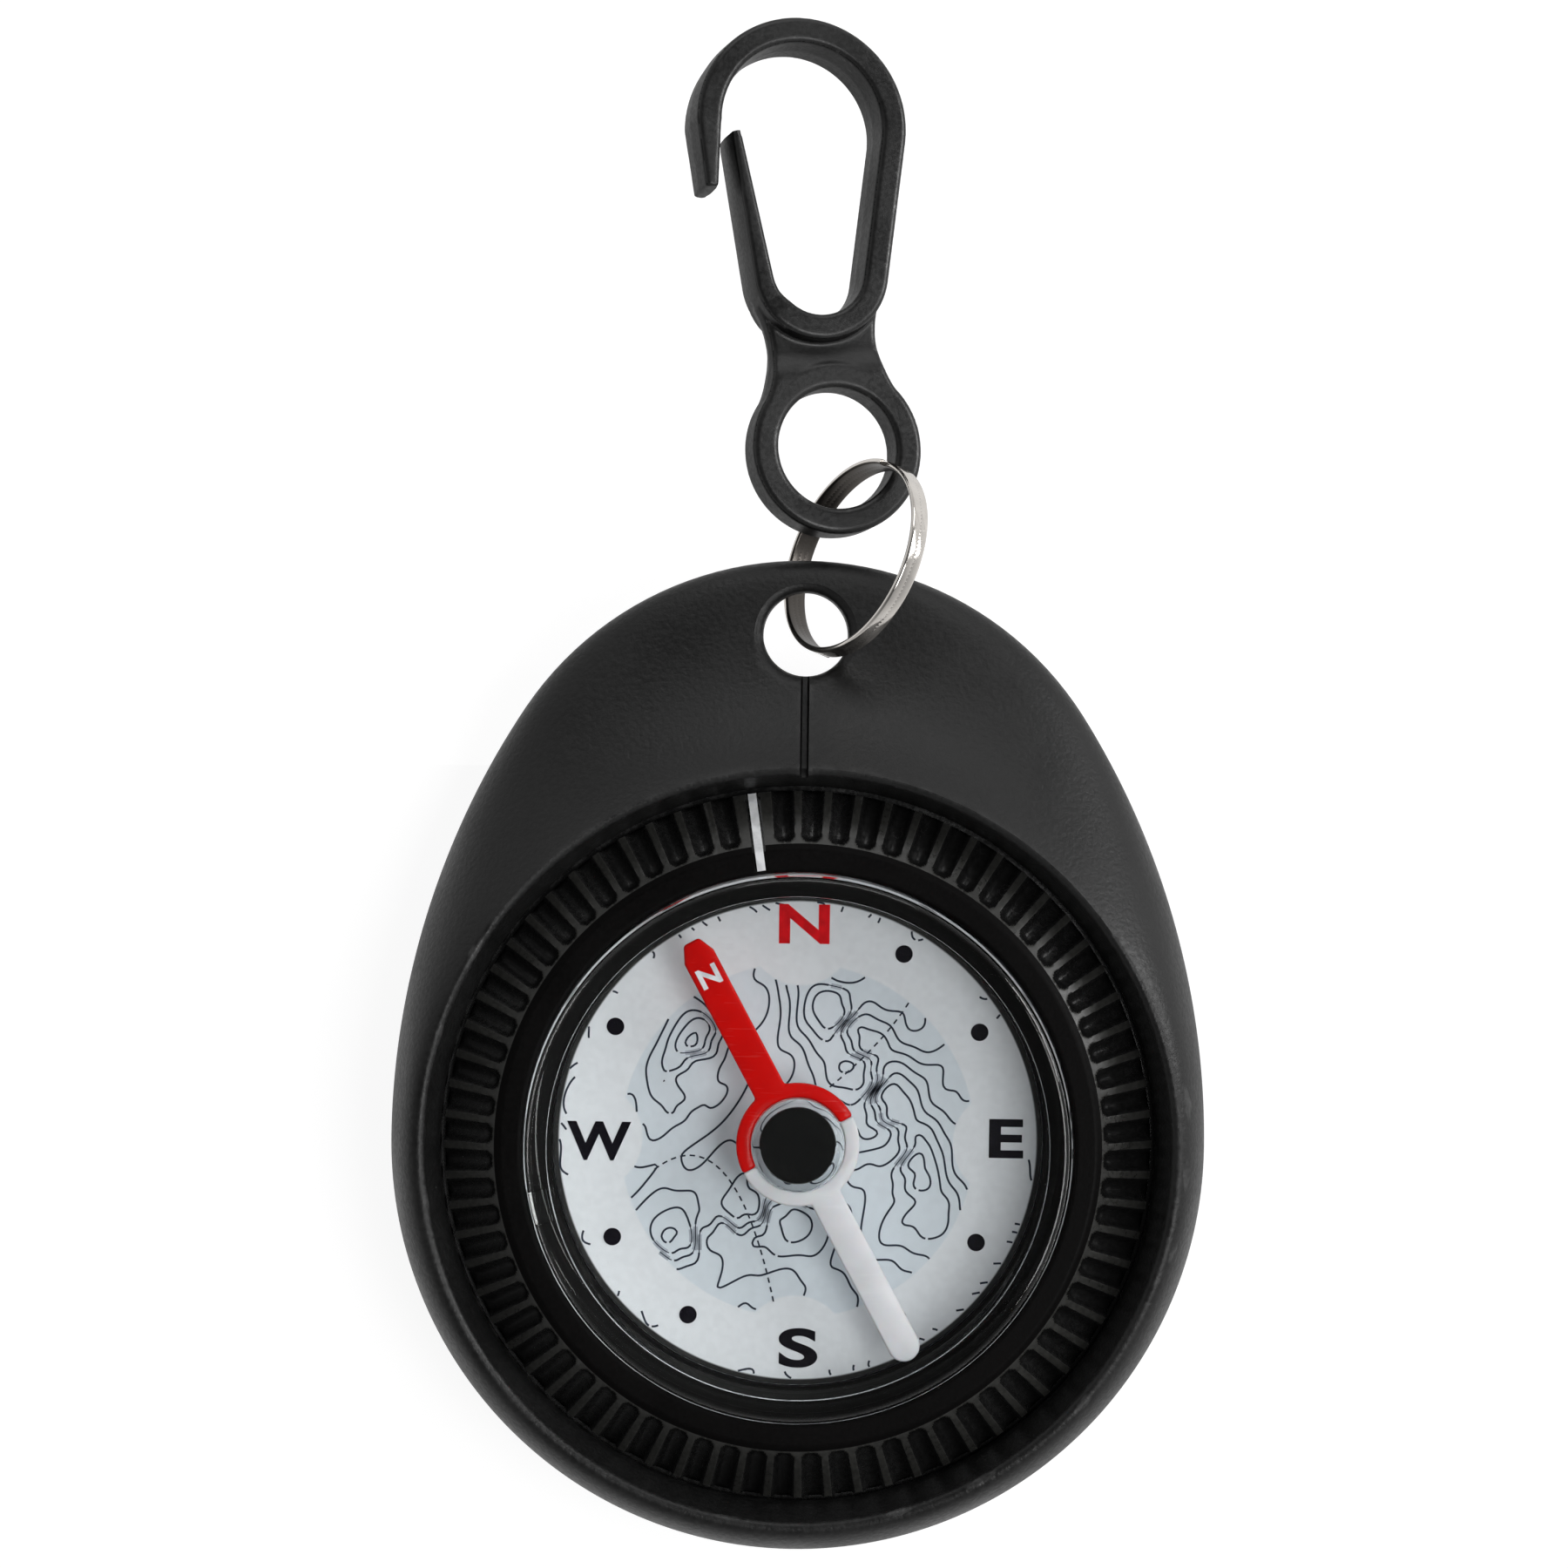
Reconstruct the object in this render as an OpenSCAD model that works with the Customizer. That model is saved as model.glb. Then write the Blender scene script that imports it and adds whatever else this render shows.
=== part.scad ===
// Clip-on pocket compass: an egg-shaped case, a ribbed turning bezel, a liquid capsule with a
// free needle, a split ring through the nose and a moulded snap hook.
// +Z is up out of the dial and +Y points to the nose. The origin is on the flat back, under the
// dial's axis. All sizes are in millimetres and degrees.

/* [Case] */
// Width of the case across its round end
case_w = 44; // [43.8:0.1:45]
// Distance from the dial's axis to the nose tip
nose_reach = 31.4; // [31:0.1:32]
// Radius of the nose's end
nose_r = 18.1; // [17.8:0.1:18.6]
// Height of the parting line between the two halves
part_z = 3.6; // [3.5:0.1:3.8]
// Height of the crater's rim
rim_z = 9.6; // [9.4:0.1:10]
// Radius of the top of the rim
rim_r = 20.1; // [20:0.05:20.3]
// Wall thickness of the case
case_wall = 1.2; // [1:0.1:1.4]
// Radius of the lanyard hole
hole_r = 2.3; // [2.2:0.05:2.4]
// Centre of the lanyard hole from the dial's axis
hole_y = 27.35; // [27.2:0.05:27.5]

/* [Bezel] */
// Outer radius of the sloping skirt
skirt_r = 18.9; // [18.8:0.05:18.95]
// Height of the flat band round the capsule
band_z = 9.0; // [8.8:0.1:9.2]
// Outer radius of the flat band
band_r = 15.8; // [15.6:0.1:16]
// Number of flutes round the skirt, one of which gives way to the index line
flute_count = 72; // [60:4:80]
// Angle of the index line, anticlockwise from the nose
index_a = 8.4; // [0:0.1:359.9]

/* [Capsule] */
// Outer radius of the capsule
capsule_r = 14.5; // [14.4:0.05:14.5]
// Height of the top of the lens
lens_top = 10.4; // [10.2:0.1:10.8]
// Wall thickness of the lens
lens_wall = 1.2; // [1.1:0.1:1.25]
// Height of the dial's printed face
dial_z = 2.9; // [2.8:0.1:3]
// Angle of the fill plug, clockwise from the nose
plug_a = 256.6; // [0:0.1:359.9]

/* [Needle] */
// Angle of the needle's north end, anticlockwise from the nose
needle_a = 28.7; // [0:0.1:359.9]
// Reach of the north end from the pivot
north_reach = 12.2; // [11:0.1:12.6]
// Reach of the south end from the pivot
south_reach = 12.95; // [11:0.05:13]
// Width of the north arm
north_w = 1.75; // [1.4:0.05:2]
// Width of the south arm
south_w = 1.7; // [1.2:0.05:1.8]

/* [Split ring] */
// Outer radius of the split ring
ring_r = 5.7; // [5.6:0.05:5.75]
// Thickness of its wire, across the ring
ring_wire = 0.7; // [0.65:0.05:0.75]
// Height of its two strands together
ring_band = 1.15; // [1.1:0.05:1.2]

/* [Snap hook] */
// Distance from the eye to the centre of the arch
hook_len = 17.6; // [17.4:0.1:18]
// Outer radius of the arch
arch_r = 5.9; // [5.8:0.1:6]
// Width of the loop's bar
hook_bar = 1.5; // [1.4:0.1:1.6]
// Thickness of the loop
hook_t = 3.6; // [3.2:0.1:3.6]
// Outer radius of the eye
eye_r = 4.7; // [4.6:0.05:4.8]
// Radius of the hole in the eye
eye_hole_r = 3.3; // [3.25:0.05:3.4]

/* [Hidden] */
$fn = 96;

// Overlap that keeps cuts clear of the faces they start from
eps = 0.1;
// Clearances: turning fit on the capsule, and end play of the bezel
run_gap = 0.08;
end_play = 0.15;

// Case outline: a round end, two side arcs and a nose arc, each tangent to the next
case_r = case_w / 2;
nose_c = nose_reach - nose_r;
r_step = case_r - nose_r;
side_d = (nose_c * nose_c - r_step * r_step) / (2 * r_step);
side_r = case_r + side_d;
tangent_x = nose_r * side_d / (side_r - nose_r);
tangent_y = nose_c + nose_r * nose_c / (side_r - nose_r);
tangent_a = atan2(tangent_y, tangent_x);
outline_steps = 72;
profile_steps = 8;

// Shape of the case's profile: how it rises from the parting line and falls towards the nose, and
// how much less the inner skin sinks than the outer one
round_rise = 0.55;
nose_rise = 2.4;
nose_drop = 5.5;
round_sink = 2.0;
nose_sink = 1.2;
nose_lift = 1.7;
base_inset = 3;
base_nose = 19.5;
round_ease = 0.3;
nose_ease = 0.8;

// Crater and the room for the bezel's foot
throat_r = skirt_r + 0.25;
rim_edge_r = rim_r - 0.3;
rim_break = 0.15;
foot_r = throat_r + 1.05;
foot_bore = foot_r + 0.4;
wall_ring_r = foot_bore + 1;
skirt_z = band_z - 2.1;
foot_z = skirt_z - 2.2;
foot_top = skirt_z - 0.9;
lip_z = foot_top + 0.2;
hole_boss = hole_r + case_wall;
hole_ease = 0.9;
hole_top_z = 5.15;
hole_top_slope = 15;
hole_back_z = 2.3;
hole_back_slope = 13;
groove_w = 0.5;
groove_d = 0.35;
groove_in = 0.4;
groove_clear = 2;
groove_low_z = 6.55;

// Ring of the back cover that locates the two halves and carries the bezel's foot
locate_r = foot_bore - 0.1;
locate_t = 1.3;
locate_top = foot_z - end_play;
socket_t = 1.2;
socket_gap = 0.05;

// Bezel
bezel_bore = capsule_r + run_gap;
channel_in = bezel_bore + 1.1;
channel_out = skirt_r - 0.9;
channel_flat = 0.3;
band_t = 1.3;
skirt_t = 0.7;
flute_r = 0.5;
flute_d = 0.38;
flute_lead = 1.5;
flute_pitch = 360 / flute_count;
slope_a = atan2(band_z - skirt_z, skirt_r - band_r);
slope_len = norm([band_z - skirt_z, skirt_r - band_r]);
index_w = 0.45;
index_d = 0.25;
index_in = bezel_bore + 0.2;

// Capsule
floor_z = case_wall;
card_t = 0.3;
base_top = dial_z - card_t;
seal_top = base_top + 0.8;
lens_in = capsule_r - lens_wall;
seal_in = lens_in - 0.1;
card_gap = 0.05;
card_r = seal_in - card_gap;
edge_r = 0.8;
boss_r = 1.2;
boss_z = dial_z + 0.9;
plug_w = 1.7;
plug_t = 1.0;
plug_h = 1.4;
plug_in = 0.1;
plug_drop = 0.5;

// Needle and its bearing
arm_z = 5.6;
arm_t = 0.6;
hub_z = 5.3;
hub_top = 7.3;
hub_r = 2.5;
hub_ring_r = 3.3;
hub_edge = 0.5;
arm_root = hub_r + 0.3;
magnet_r = 2.0;
magnet_top = 6.7;
jewel_r = 0.9;
cup_r = 0.55;
cup_z = 6.1;
pin_r = 0.35;
pin_tip_r = 0.08;
pin_tip_z = cup_z - 0.05;
pin_cone = 0.8;
pin_root = 1.8;
tip_taper = 0.9;
tip_w = 0.9;

// Where the split ring and the hook lie: centre, then turns about X, Y and Z
ring_at = [2.59, 31.45, 5.4];
ring_turn = [0, -57.5, -20.1];
ring_mid = ring_r - ring_wire / 2;
strand_h = ring_band / 2 - 0.03;
hook_at = [1.32, 37.4, 3.85];
hook_turn = [-2.2, 14.5, 6.3];

// Hook outline, in its own flat frame with the eye at the origin
arch_at = [-0.25, hook_len];
foot_at = [0.15, 9.65];
loop_foot_r = 3.9;
beak_y = 14.5;
root_y = 8.25;
root_x = -1.8;
eye_t = 2.4;

// Tongue: its root, its tip, and the shoulders between them
knuckle_at = [-2.65, 8.6];
knuckle_r = 0.75;
knuckle_gap = 0.06;
gate_tip = [-3.55, 17.35];
gate_tip_w = 0.65;
gate_in = [0.45, 1.2];
gate_out = [-1.05, 0.8];
gate_chin = [0.5, 0.3];
gate_t = hook_t - 0.2;

// Neck, whose hollow sides run smoothly into the eye and the loop's foot
neck_t = 1.6;
neck_fillet = 5.5;
neck_run = norm(foot_at);
neck_along = (pow(eye_r + neck_fillet, 2) - pow(loop_foot_r + neck_fillet, 2) + neck_run * neck_run) / (2 * neck_run);
neck_off = sqrt(pow(eye_r + neck_fillet, 2) - neck_along * neck_along);

function mix(a, b, t) = a + (b - a) * t;

function bezier(p, t) =
    pow(1 - t, 3) * p[0] + 3 * t * pow(1 - t, 2) * p[1] + 3 * t * t * (1 - t) * p[2] + pow(t, 3) * p[3];

// Distance along a ray to a circle whose centre lies "ahead" along it, at distance "off" away
function ray_to_circle(ahead, off, r) = ahead + sqrt(ahead * ahead - off * off + r * r);

function outline_r(a) =
    sin(a) <= 0 ? case_r
    : atan2(sin(a), abs(cos(a))) < tangent_a ? ray_to_circle(-side_d * abs(cos(a)), side_d, side_r)
    : ray_to_circle(nose_c * sin(a), nose_c, nose_r);

// How far an angle belongs to the nose: 0 round the lower half, 1 at the tip
function nose_share(a) = (outline_r(a) - case_r) / (nose_reach - case_r);

function at_angle(a, p) = [p[0] * cos(a), p[0] * sin(a), p[1]];

// A point of the upper half's skin, from the parting line at t = 0 to the rim at t = 1
function top_point(a, t, inset) =
    let (
        w = nose_share(a),
        out = outline_r(a) - inset,
        rim = rim_r - inset,
        top = rim_z - inset,
        rise = mix(round_rise * (top - part_z), nose_rise - inset, w)
    )
    at_angle(a, bezier([
        [out, part_z],
        [out, part_z + rise],
        [(out + rim) / 2, top - nose_drop * w],
        [rim, top]
    ], t));

// A point of the lower half's skin, from the parting line at t = 0 to the flat back at t = 1
function back_point(a, t, inset) =
    let (
        w = nose_share(a),
        out = outline_r(a) - inset,
        flat = mix(case_r - base_inset, base_nose, w) - inset,
        sink = mix(round_sink, nose_sink, w) - inset * mix(round_ease, nose_ease, w)
    )
    at_angle(a, bezier([
        [out, part_z],
        [out, part_z - sink],
        [(out + flat) / 2, inset + nose_lift * w],
        [flat, inset]
    ], t));

// A closed skin through rings of points, each ring having the same number of points
module skin(rings) {
    n = len(rings[0]);
    last = len(rings) - 1;
    polyhedron(
        points = [for (ring = rings) each ring],
        faces = [
            [for (i = [0 : n - 1]) i],
            for (k = [0 : last - 1], i = [0 : n - 1])
                each let (j = (i + 1) % n, low = k * n, high = (k + 1) * n)
                    [[low + i, high + j, low + j], [low + i, high + i, high + j]],
            [for (i = [0 : n - 1]) last * n + n - 1 - i]
        ]
    );
}

function ring_angles() = [for (i = [0 : outline_steps - 1]) i * 360 / outline_steps];

module case_top(inset) {
    skin([
        if (inset > 0) [for (a = ring_angles()) at_angle(a, [outline_r(a) - inset, part_z - eps])],
        for (k = [0 : profile_steps]) [for (a = ring_angles()) top_point(a, k / profile_steps, inset)]
    ]);
}

module case_bottom(inset) {
    skin([
        for (k = [profile_steps : -1 : 0]) [for (a = ring_angles()) back_point(a, k / profile_steps, inset)],
        if (inset > 0) [for (a = ring_angles()) at_angle(a, [outline_r(a) - inset, part_z + eps])]
    ]);
}

module tube(inner, outer, from, to) {
    rotate_extrude()
        translate([inner, from])
            square([outer - inner, to - from]);
}

module hole_post(r) {
    translate([0, hole_y, -eps])
        cylinder(r = r, h = rim_z + 2 * eps);
}

// The lanyard hole, with both its edges eased at the slope of the skin there
module lanyard_hole() {
    hole_post(hole_r);
    translate([0, hole_y, hole_top_z])
        rotate([-hole_top_slope, 0, 0])
            cylinder(r1 = hole_r, r2 = hole_r + hole_ease, h = hole_ease);
    translate([0, hole_y, hole_back_z])
        rotate([180 + hole_back_slope, 0, 0])
            cylinder(r1 = hole_r, r2 = hole_r + hole_ease, h = hole_ease);
}

// Crater, its throat and the room for the bezel's foot, as one turned cut
module crater() {
    rotate_extrude()
        polygon([
            [0, part_z - 2 * eps],
            [foot_bore, part_z - 2 * eps],
            [foot_bore, lip_z],
            [throat_r, lip_z],
            [throat_r, skirt_z],
            [rim_edge_r - rim_break, rim_z - rim_break],
            [rim_edge_r + eps, rim_z + eps],
            [0, rim_z + eps]
        ]);
}

// Sighting groove down the slope, from the rim to the lanyard hole
module index_groove() {
    high = [rim_r - groove_in, rim_z];
    low = [hole_y - hole_r, groove_low_z];
    run = low - high;
    translate([-groove_w / 2, high[0], high[1]])
        rotate([atan2(run[1], run[0]), 0, 0])
            translate([0, 0, -groove_d])
                cube([groove_w, norm(run), groove_clear]);
}

module case_shell() {
    color("#1d1d1e")
        difference() {
            case_top(0);
            difference() {
                case_top(case_wall);
                translate([0, 0, part_z - 1])
                    cylinder(r = wall_ring_r, h = rim_z);
                hole_post(hole_boss);
            }
            crater();
            lanyard_hole();
            index_groove();
        }
}

module back_cover() {
    color("#1a1a1b") {
        difference() {
            case_bottom(0);
            difference() {
                case_bottom(case_wall);
                hole_post(hole_boss);
            }
            lanyard_hole();
        }
        tube(locate_r - locate_t, locate_r, floor_z - eps, locate_top);
        tube(capsule_r + socket_gap, capsule_r + socket_gap + socket_t, floor_z - eps, base_top);
    }
}

// Long edge of the skirt's slope, from the flat band outwards
module on_slope() {
    translate([band_r, 0, band_z])
        rotate([0, slope_a, 0])
            children();
}

module flute() {
    on_slope()
        translate([-flute_lead, 0, flute_r - flute_d])
            rotate([0, 90, 0])
                cylinder(r = flute_r, h = slope_len + 2 * flute_lead, $fn = 24);
}

module index_strip(cover) {
    rotate([0, 0, 90 + index_a])
        translate([0, index_w / 2, 0])
            rotate([90, 0, 0])
                linear_extrude(index_w)
                    polygon([
                        [index_in, band_z + cover],
                        [band_r, band_z + cover],
                        [skirt_r + cover, skirt_z + cover],
                        [skirt_r + cover, skirt_z - index_d],
                        [skirt_r, skirt_z - index_d],
                        [band_r - index_d / 2, band_z - index_d],
                        [index_in, band_z - index_d]
                    ]);
}

module bezel_ring() {
    color("#222223")
        difference() {
            rotate_extrude()
                polygon([
                    [bezel_bore, foot_z],
                    [channel_in, foot_z],
                    [channel_in, band_z - band_t],
                    [channel_in + channel_flat, band_z - band_t],
                    [channel_out, skirt_z - skirt_t],
                    [channel_out, foot_z],
                    [foot_r, foot_z],
                    [foot_r, foot_top],
                    [skirt_r, foot_top],
                    [skirt_r, skirt_z],
                    [band_r, band_z],
                    [bezel_bore, band_z]
                ]);
            for (i = [1 : flute_count - 1])
                rotate([0, 0, 90 + index_a + i * flute_pitch])
                    flute();
            index_strip(eps);
        }
}

module bezel_index() {
    color("#f2f2f0")
        index_strip(0);
}

// Half section of a round cup with a rounded upper edge
module cup_section(r, top, round_r) {
    square([r, top - round_r]);
    square([r - round_r, top]);
    translate([r - round_r, top - round_r])
        circle(r = round_r);
}

module plug_block() {
    rotate([0, 0, 90 - plug_a])
        translate([capsule_r - plug_t - plug_in, -plug_w / 2, lens_top - plug_h - plug_drop])
            cube([plug_t, plug_w, plug_h]);
}

module capsule_lens() {
    color([0.9, 0.95, 0.97, 0.35])
        difference() {
            rotate_extrude()
                difference() {
                    cup_section(capsule_r, lens_top, edge_r);
                    square([capsule_r + eps, seal_top]);
                    cup_section(lens_in, lens_top - lens_wall, edge_r / 2);
                }
            plug_block();
        }
}

module capsule_base() {
    color("#e8ebec")
        difference() {
            union() {
                translate([0, 0, floor_z])
                    cylinder(r = capsule_r, h = base_top - floor_z);
                cylinder(r = boss_r, h = boss_z);
            }
            translate([0, 0, -eps])
                cylinder(r = boss_r + eps, h = floor_z + eps);
            translate([0, 0, pin_root])
                cylinder(r = pin_r, h = boss_z);
        }
}

module capsule_seal() {
    color("#101010")
        tube(seal_in, capsule_r, base_top, seal_top);
}

module fill_plug() {
    color([0.9, 0.95, 0.97, 0.4])
        plug_block();
}

module dial_card() {
    color("#f4f5f6")
        tube(boss_r + card_gap, card_r, base_top, dial_z);
}

module pivot_pin() {
    color("#c9cbcd") {
        translate([0, 0, pin_root])
            cylinder(r = pin_r, h = pin_tip_z - pin_cone - pin_root);
        translate([0, 0, pin_tip_z - pin_cone])
            cylinder(r1 = pin_r, r2 = pin_tip_r, h = pin_cone);
    }
}

module pivot_jewel() {
    color("#b4884a")
        difference() {
            translate([0, 0, hub_z])
                cylinder(r = jewel_r, h = magnet_top - hub_z);
            translate([0, 0, hub_z - eps])
                cylinder(r = cup_r, h = cup_z - hub_z + eps);
        }
}

module needle_place() {
    rotate([0, 0, needle_a])
        translate([0, 0, arm_z])
            linear_extrude(arm_t)
                children();
}

module half_ring() {
    difference() {
        intersection() {
            circle(r = hub_ring_r);
            translate([-hub_ring_r, 0])
                square([2 * hub_ring_r, hub_ring_r]);
        }
        circle(r = hub_r);
    }
}

module needle_north() {
    color("#d8271c")
        needle_place() {
            half_ring();
            polygon([
                [-north_w / 2, arm_root],
                [north_w / 2, arm_root],
                [north_w / 2, north_reach - tip_taper],
                [tip_w / 2, north_reach],
                [-tip_w / 2, north_reach],
                [-north_w / 2, north_reach - tip_taper]
            ]);
        }
}

module needle_south() {
    color("#f1f2f3")
        needle_place()
            rotate(180) {
                half_ring();
                translate([-south_w / 2, arm_root])
                    square([south_w, south_reach - south_w / 2 - arm_root]);
                translate([0, south_reach - south_w / 2])
                    circle(r = south_w / 2);
            }
}

module needle_hub() {
    color([0.92, 0.94, 0.95, 0.5])
        rotate_extrude()
            difference() {
                translate([0, hub_z])
                    cup_section(hub_r, hub_top - hub_z, hub_edge);
                translate([0, hub_z - eps])
                    square([magnet_r, magnet_top - hub_z + eps]);
            }
}

module needle_magnet() {
    color("#121212")
        tube(jewel_r, magnet_r, hub_z, magnet_top);
}

module split_ring() {
    color("#d9dadb")
        translate(ring_at)
            rotate(ring_turn)
                rotate_extrude() {
                    for (side = [-1, 1])
                        translate([ring_mid - ring_wire / 2, side * (ring_band - strand_h) / 2 - strand_h / 2])
                            square([ring_wire, strand_h]);
                    translate([ring_mid - ring_wire / 3, -ring_band / 6])
                        square([ring_wire * 2 / 3, ring_band / 3]);
                }
}

module hook_place() {
    translate(hook_at)
        rotate(hook_turn)
            children();
}

// A flat extrusion centred on the hook's middle plane
module slab(t) {
    translate([0, 0, -t / 2])
        linear_extrude(t)
            children();
}

// Two circles and the straight sides that touch both
module belt(c1, r1, c2, r2) {
    run = c2 - c1;
    axis_a = atan2(run[1], run[0]);
    lean = acos((r1 - r2) / norm(run));
    left = [cos(axis_a + lean), sin(axis_a + lean)];
    right = [cos(axis_a - lean), sin(axis_a - lean)];
    translate(c1)
        circle(r = r1);
    translate(c2)
        circle(r = r2);
    polygon([c1 + r1 * left, c1 + r1 * right, c2 + r2 * right, c2 + r2 * left]);
}

module loop_outline() {
    difference() {
        belt(foot_at, loop_foot_r, arch_at, arch_r);
        belt(foot_at, loop_foot_r - hook_bar, arch_at, arch_r - hook_bar);
    }
}

// The gap between root and beak, and the room for the tongue's knuckle
module tongue_room() {
    translate([-2 * arch_r, root_y])
        square([2 * arch_r + root_x, beak_y - root_y]);
    translate(knuckle_at)
        circle(r = knuckle_r + knuckle_gap);
}

// Centre of the hollow on one side of the neck, which touches the eye and the foot
function hollow_at(side) =
    let (ahead = foot_at / neck_run)
    neck_along * ahead + side * neck_off * [ahead[1], -ahead[0]];

function eye_touch(side) = hollow_at(side) * eye_r / (eye_r + neck_fillet);

function foot_touch(side) = foot_at + (hollow_at(side) - foot_at) * loop_foot_r / (loop_foot_r + neck_fillet);

module neck_outline() {
    difference() {
        polygon([
            eye_touch(1),
            foot_touch(1),
            foot_at - [0, loop_foot_r - hook_bar / 2],
            foot_touch(-1),
            eye_touch(-1)
        ]);
        for (side = [-1, 1])
            translate(hollow_at(side))
                circle(r = neck_fillet);
    }
}

module hook_frame() {
    color("#1b1b1c")
        hook_place()
            difference() {
                union() {
                    slab(hook_t)
                        loop_outline();
                    slab(neck_t)
                        neck_outline();
                    slab(eye_t)
                        circle(r = eye_r);
                }
                slab(2 * hook_t) {
                    circle(r = eye_hole_r);
                    tongue_room();
                }
            }
}

module hook_gate() {
    color("#1b1b1c")
        hook_place()
            slab(gate_t) {
                translate(knuckle_at)
                    circle(r = knuckle_r);
                polygon([
                    knuckle_at + [-knuckle_r, 0],
                    knuckle_at + [knuckle_r, 0],
                    knuckle_at + gate_in,
                    gate_tip + [gate_tip_w / 2, -gate_chin[0]],
                    gate_tip,
                    gate_tip + [-gate_tip_w / 2, -gate_chin[1]],
                    knuckle_at + gate_out
                ]);
            }
}

case_shell();
back_cover();
bezel_ring();
bezel_index();
capsule_lens();
capsule_base();
capsule_seal();
fill_plug();
dial_card();
pivot_pin();
pivot_jewel();
needle_north();
needle_south();
needle_hub();
needle_magnet();
split_ring();
hook_frame();
hook_gate();
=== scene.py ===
# Clip-on pocket compass: the finish of every piece, laid out as an add-on and run as a script.
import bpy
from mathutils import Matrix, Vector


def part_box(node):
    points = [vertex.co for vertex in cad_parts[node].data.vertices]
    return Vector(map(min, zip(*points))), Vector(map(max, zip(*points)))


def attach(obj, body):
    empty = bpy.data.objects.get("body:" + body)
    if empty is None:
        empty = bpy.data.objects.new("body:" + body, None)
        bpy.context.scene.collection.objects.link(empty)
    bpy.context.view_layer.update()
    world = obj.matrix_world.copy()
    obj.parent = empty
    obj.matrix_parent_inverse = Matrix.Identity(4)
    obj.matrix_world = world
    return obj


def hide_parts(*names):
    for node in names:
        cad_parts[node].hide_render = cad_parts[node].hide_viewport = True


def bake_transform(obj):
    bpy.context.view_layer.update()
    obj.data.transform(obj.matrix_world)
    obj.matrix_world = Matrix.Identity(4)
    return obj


bl_info = {
    "name": "Clip-on pocket compass",
    "version": (1, 0, 0),
    "blender": (4, 5, 0),
    "location": "3D View > Sidebar > Compass",
    "description": "Dresses the frame of a clip-on pocket compass with finished pieces",
    "category": "Object",
}

import math

import bmesh
import bpy
import numpy as np
from bpy.props import FloatProperty, FloatVectorProperty, IntProperty, PointerProperty
from bpy.types import Operator, Panel, PropertyGroup
from mathutils import Euler, Matrix, Vector

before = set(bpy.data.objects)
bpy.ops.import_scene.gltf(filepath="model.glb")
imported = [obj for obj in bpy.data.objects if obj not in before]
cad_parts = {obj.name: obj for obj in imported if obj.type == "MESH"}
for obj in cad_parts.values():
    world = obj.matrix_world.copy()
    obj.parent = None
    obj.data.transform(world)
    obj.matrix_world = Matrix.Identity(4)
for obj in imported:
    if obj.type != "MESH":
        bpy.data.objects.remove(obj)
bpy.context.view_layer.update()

MM = 0.001
QUARTER = math.pi / 2
# A gap too small to see
HAIR = 0.01 * MM

# Boxes of the frame's own nodes, from which the main sizes come
CASE_LOW, CASE_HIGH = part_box("case_shell")
BEZEL_LOW, BEZEL_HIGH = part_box("bezel_ring")
LENS_LOW, LENS_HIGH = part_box("capsule_lens")
CARD_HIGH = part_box("dial_card")[1]
NORTH_LOW, NORTH_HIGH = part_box("needle_north")
HUB_LOW, HUB_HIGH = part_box("needle_hub")


def number(name, description, default):
    """A plain number that a user may change."""
    return FloatProperty(name=name, description=description, default=default)


def size(name, description, metres):
    """A length that a user may change."""
    units = {"precision": 5, "subtype": "DISTANCE", "unit": "LENGTH"}
    return FloatProperty(name=name, description=description, default=metres, **units)


def angle(name, description, degrees):
    """An angle that a user may change."""
    units = {"subtype": "ANGLE", "unit": "ROTATION"}
    return FloatProperty(name=name, description=description, default=math.radians(degrees), **units)


def place(name, description, millimetres):
    """A point that a user may change."""
    metres = [value * MM for value in millimetres]
    units = {"precision": 5, "subtype": "TRANSLATION", "unit": "LENGTH"}
    return FloatVectorProperty(name=name, description=description, default=metres, **units)


def turns(name, description, degrees):
    """Turns about X, then Y, then Z."""
    radians = [math.radians(value) for value in degrees]
    return FloatVectorProperty(name=name, description=description, default=radians, subtype="EULER")


def colour(name, description, *display):
    """A colour that a user may change, written as display values from 0 to 255."""
    shares = [value / 255 for value in display]
    linear = [share / 12.92 if share < 0.0405 else ((share + 0.055) / 1.055) ** 2.4 for share in shares]
    limits = {"size": 4, "min": 0, "max": 1, "subtype": "COLOR"}
    return FloatVectorProperty(name=name, description=description, default=(*linear, 1), **limits)


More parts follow.
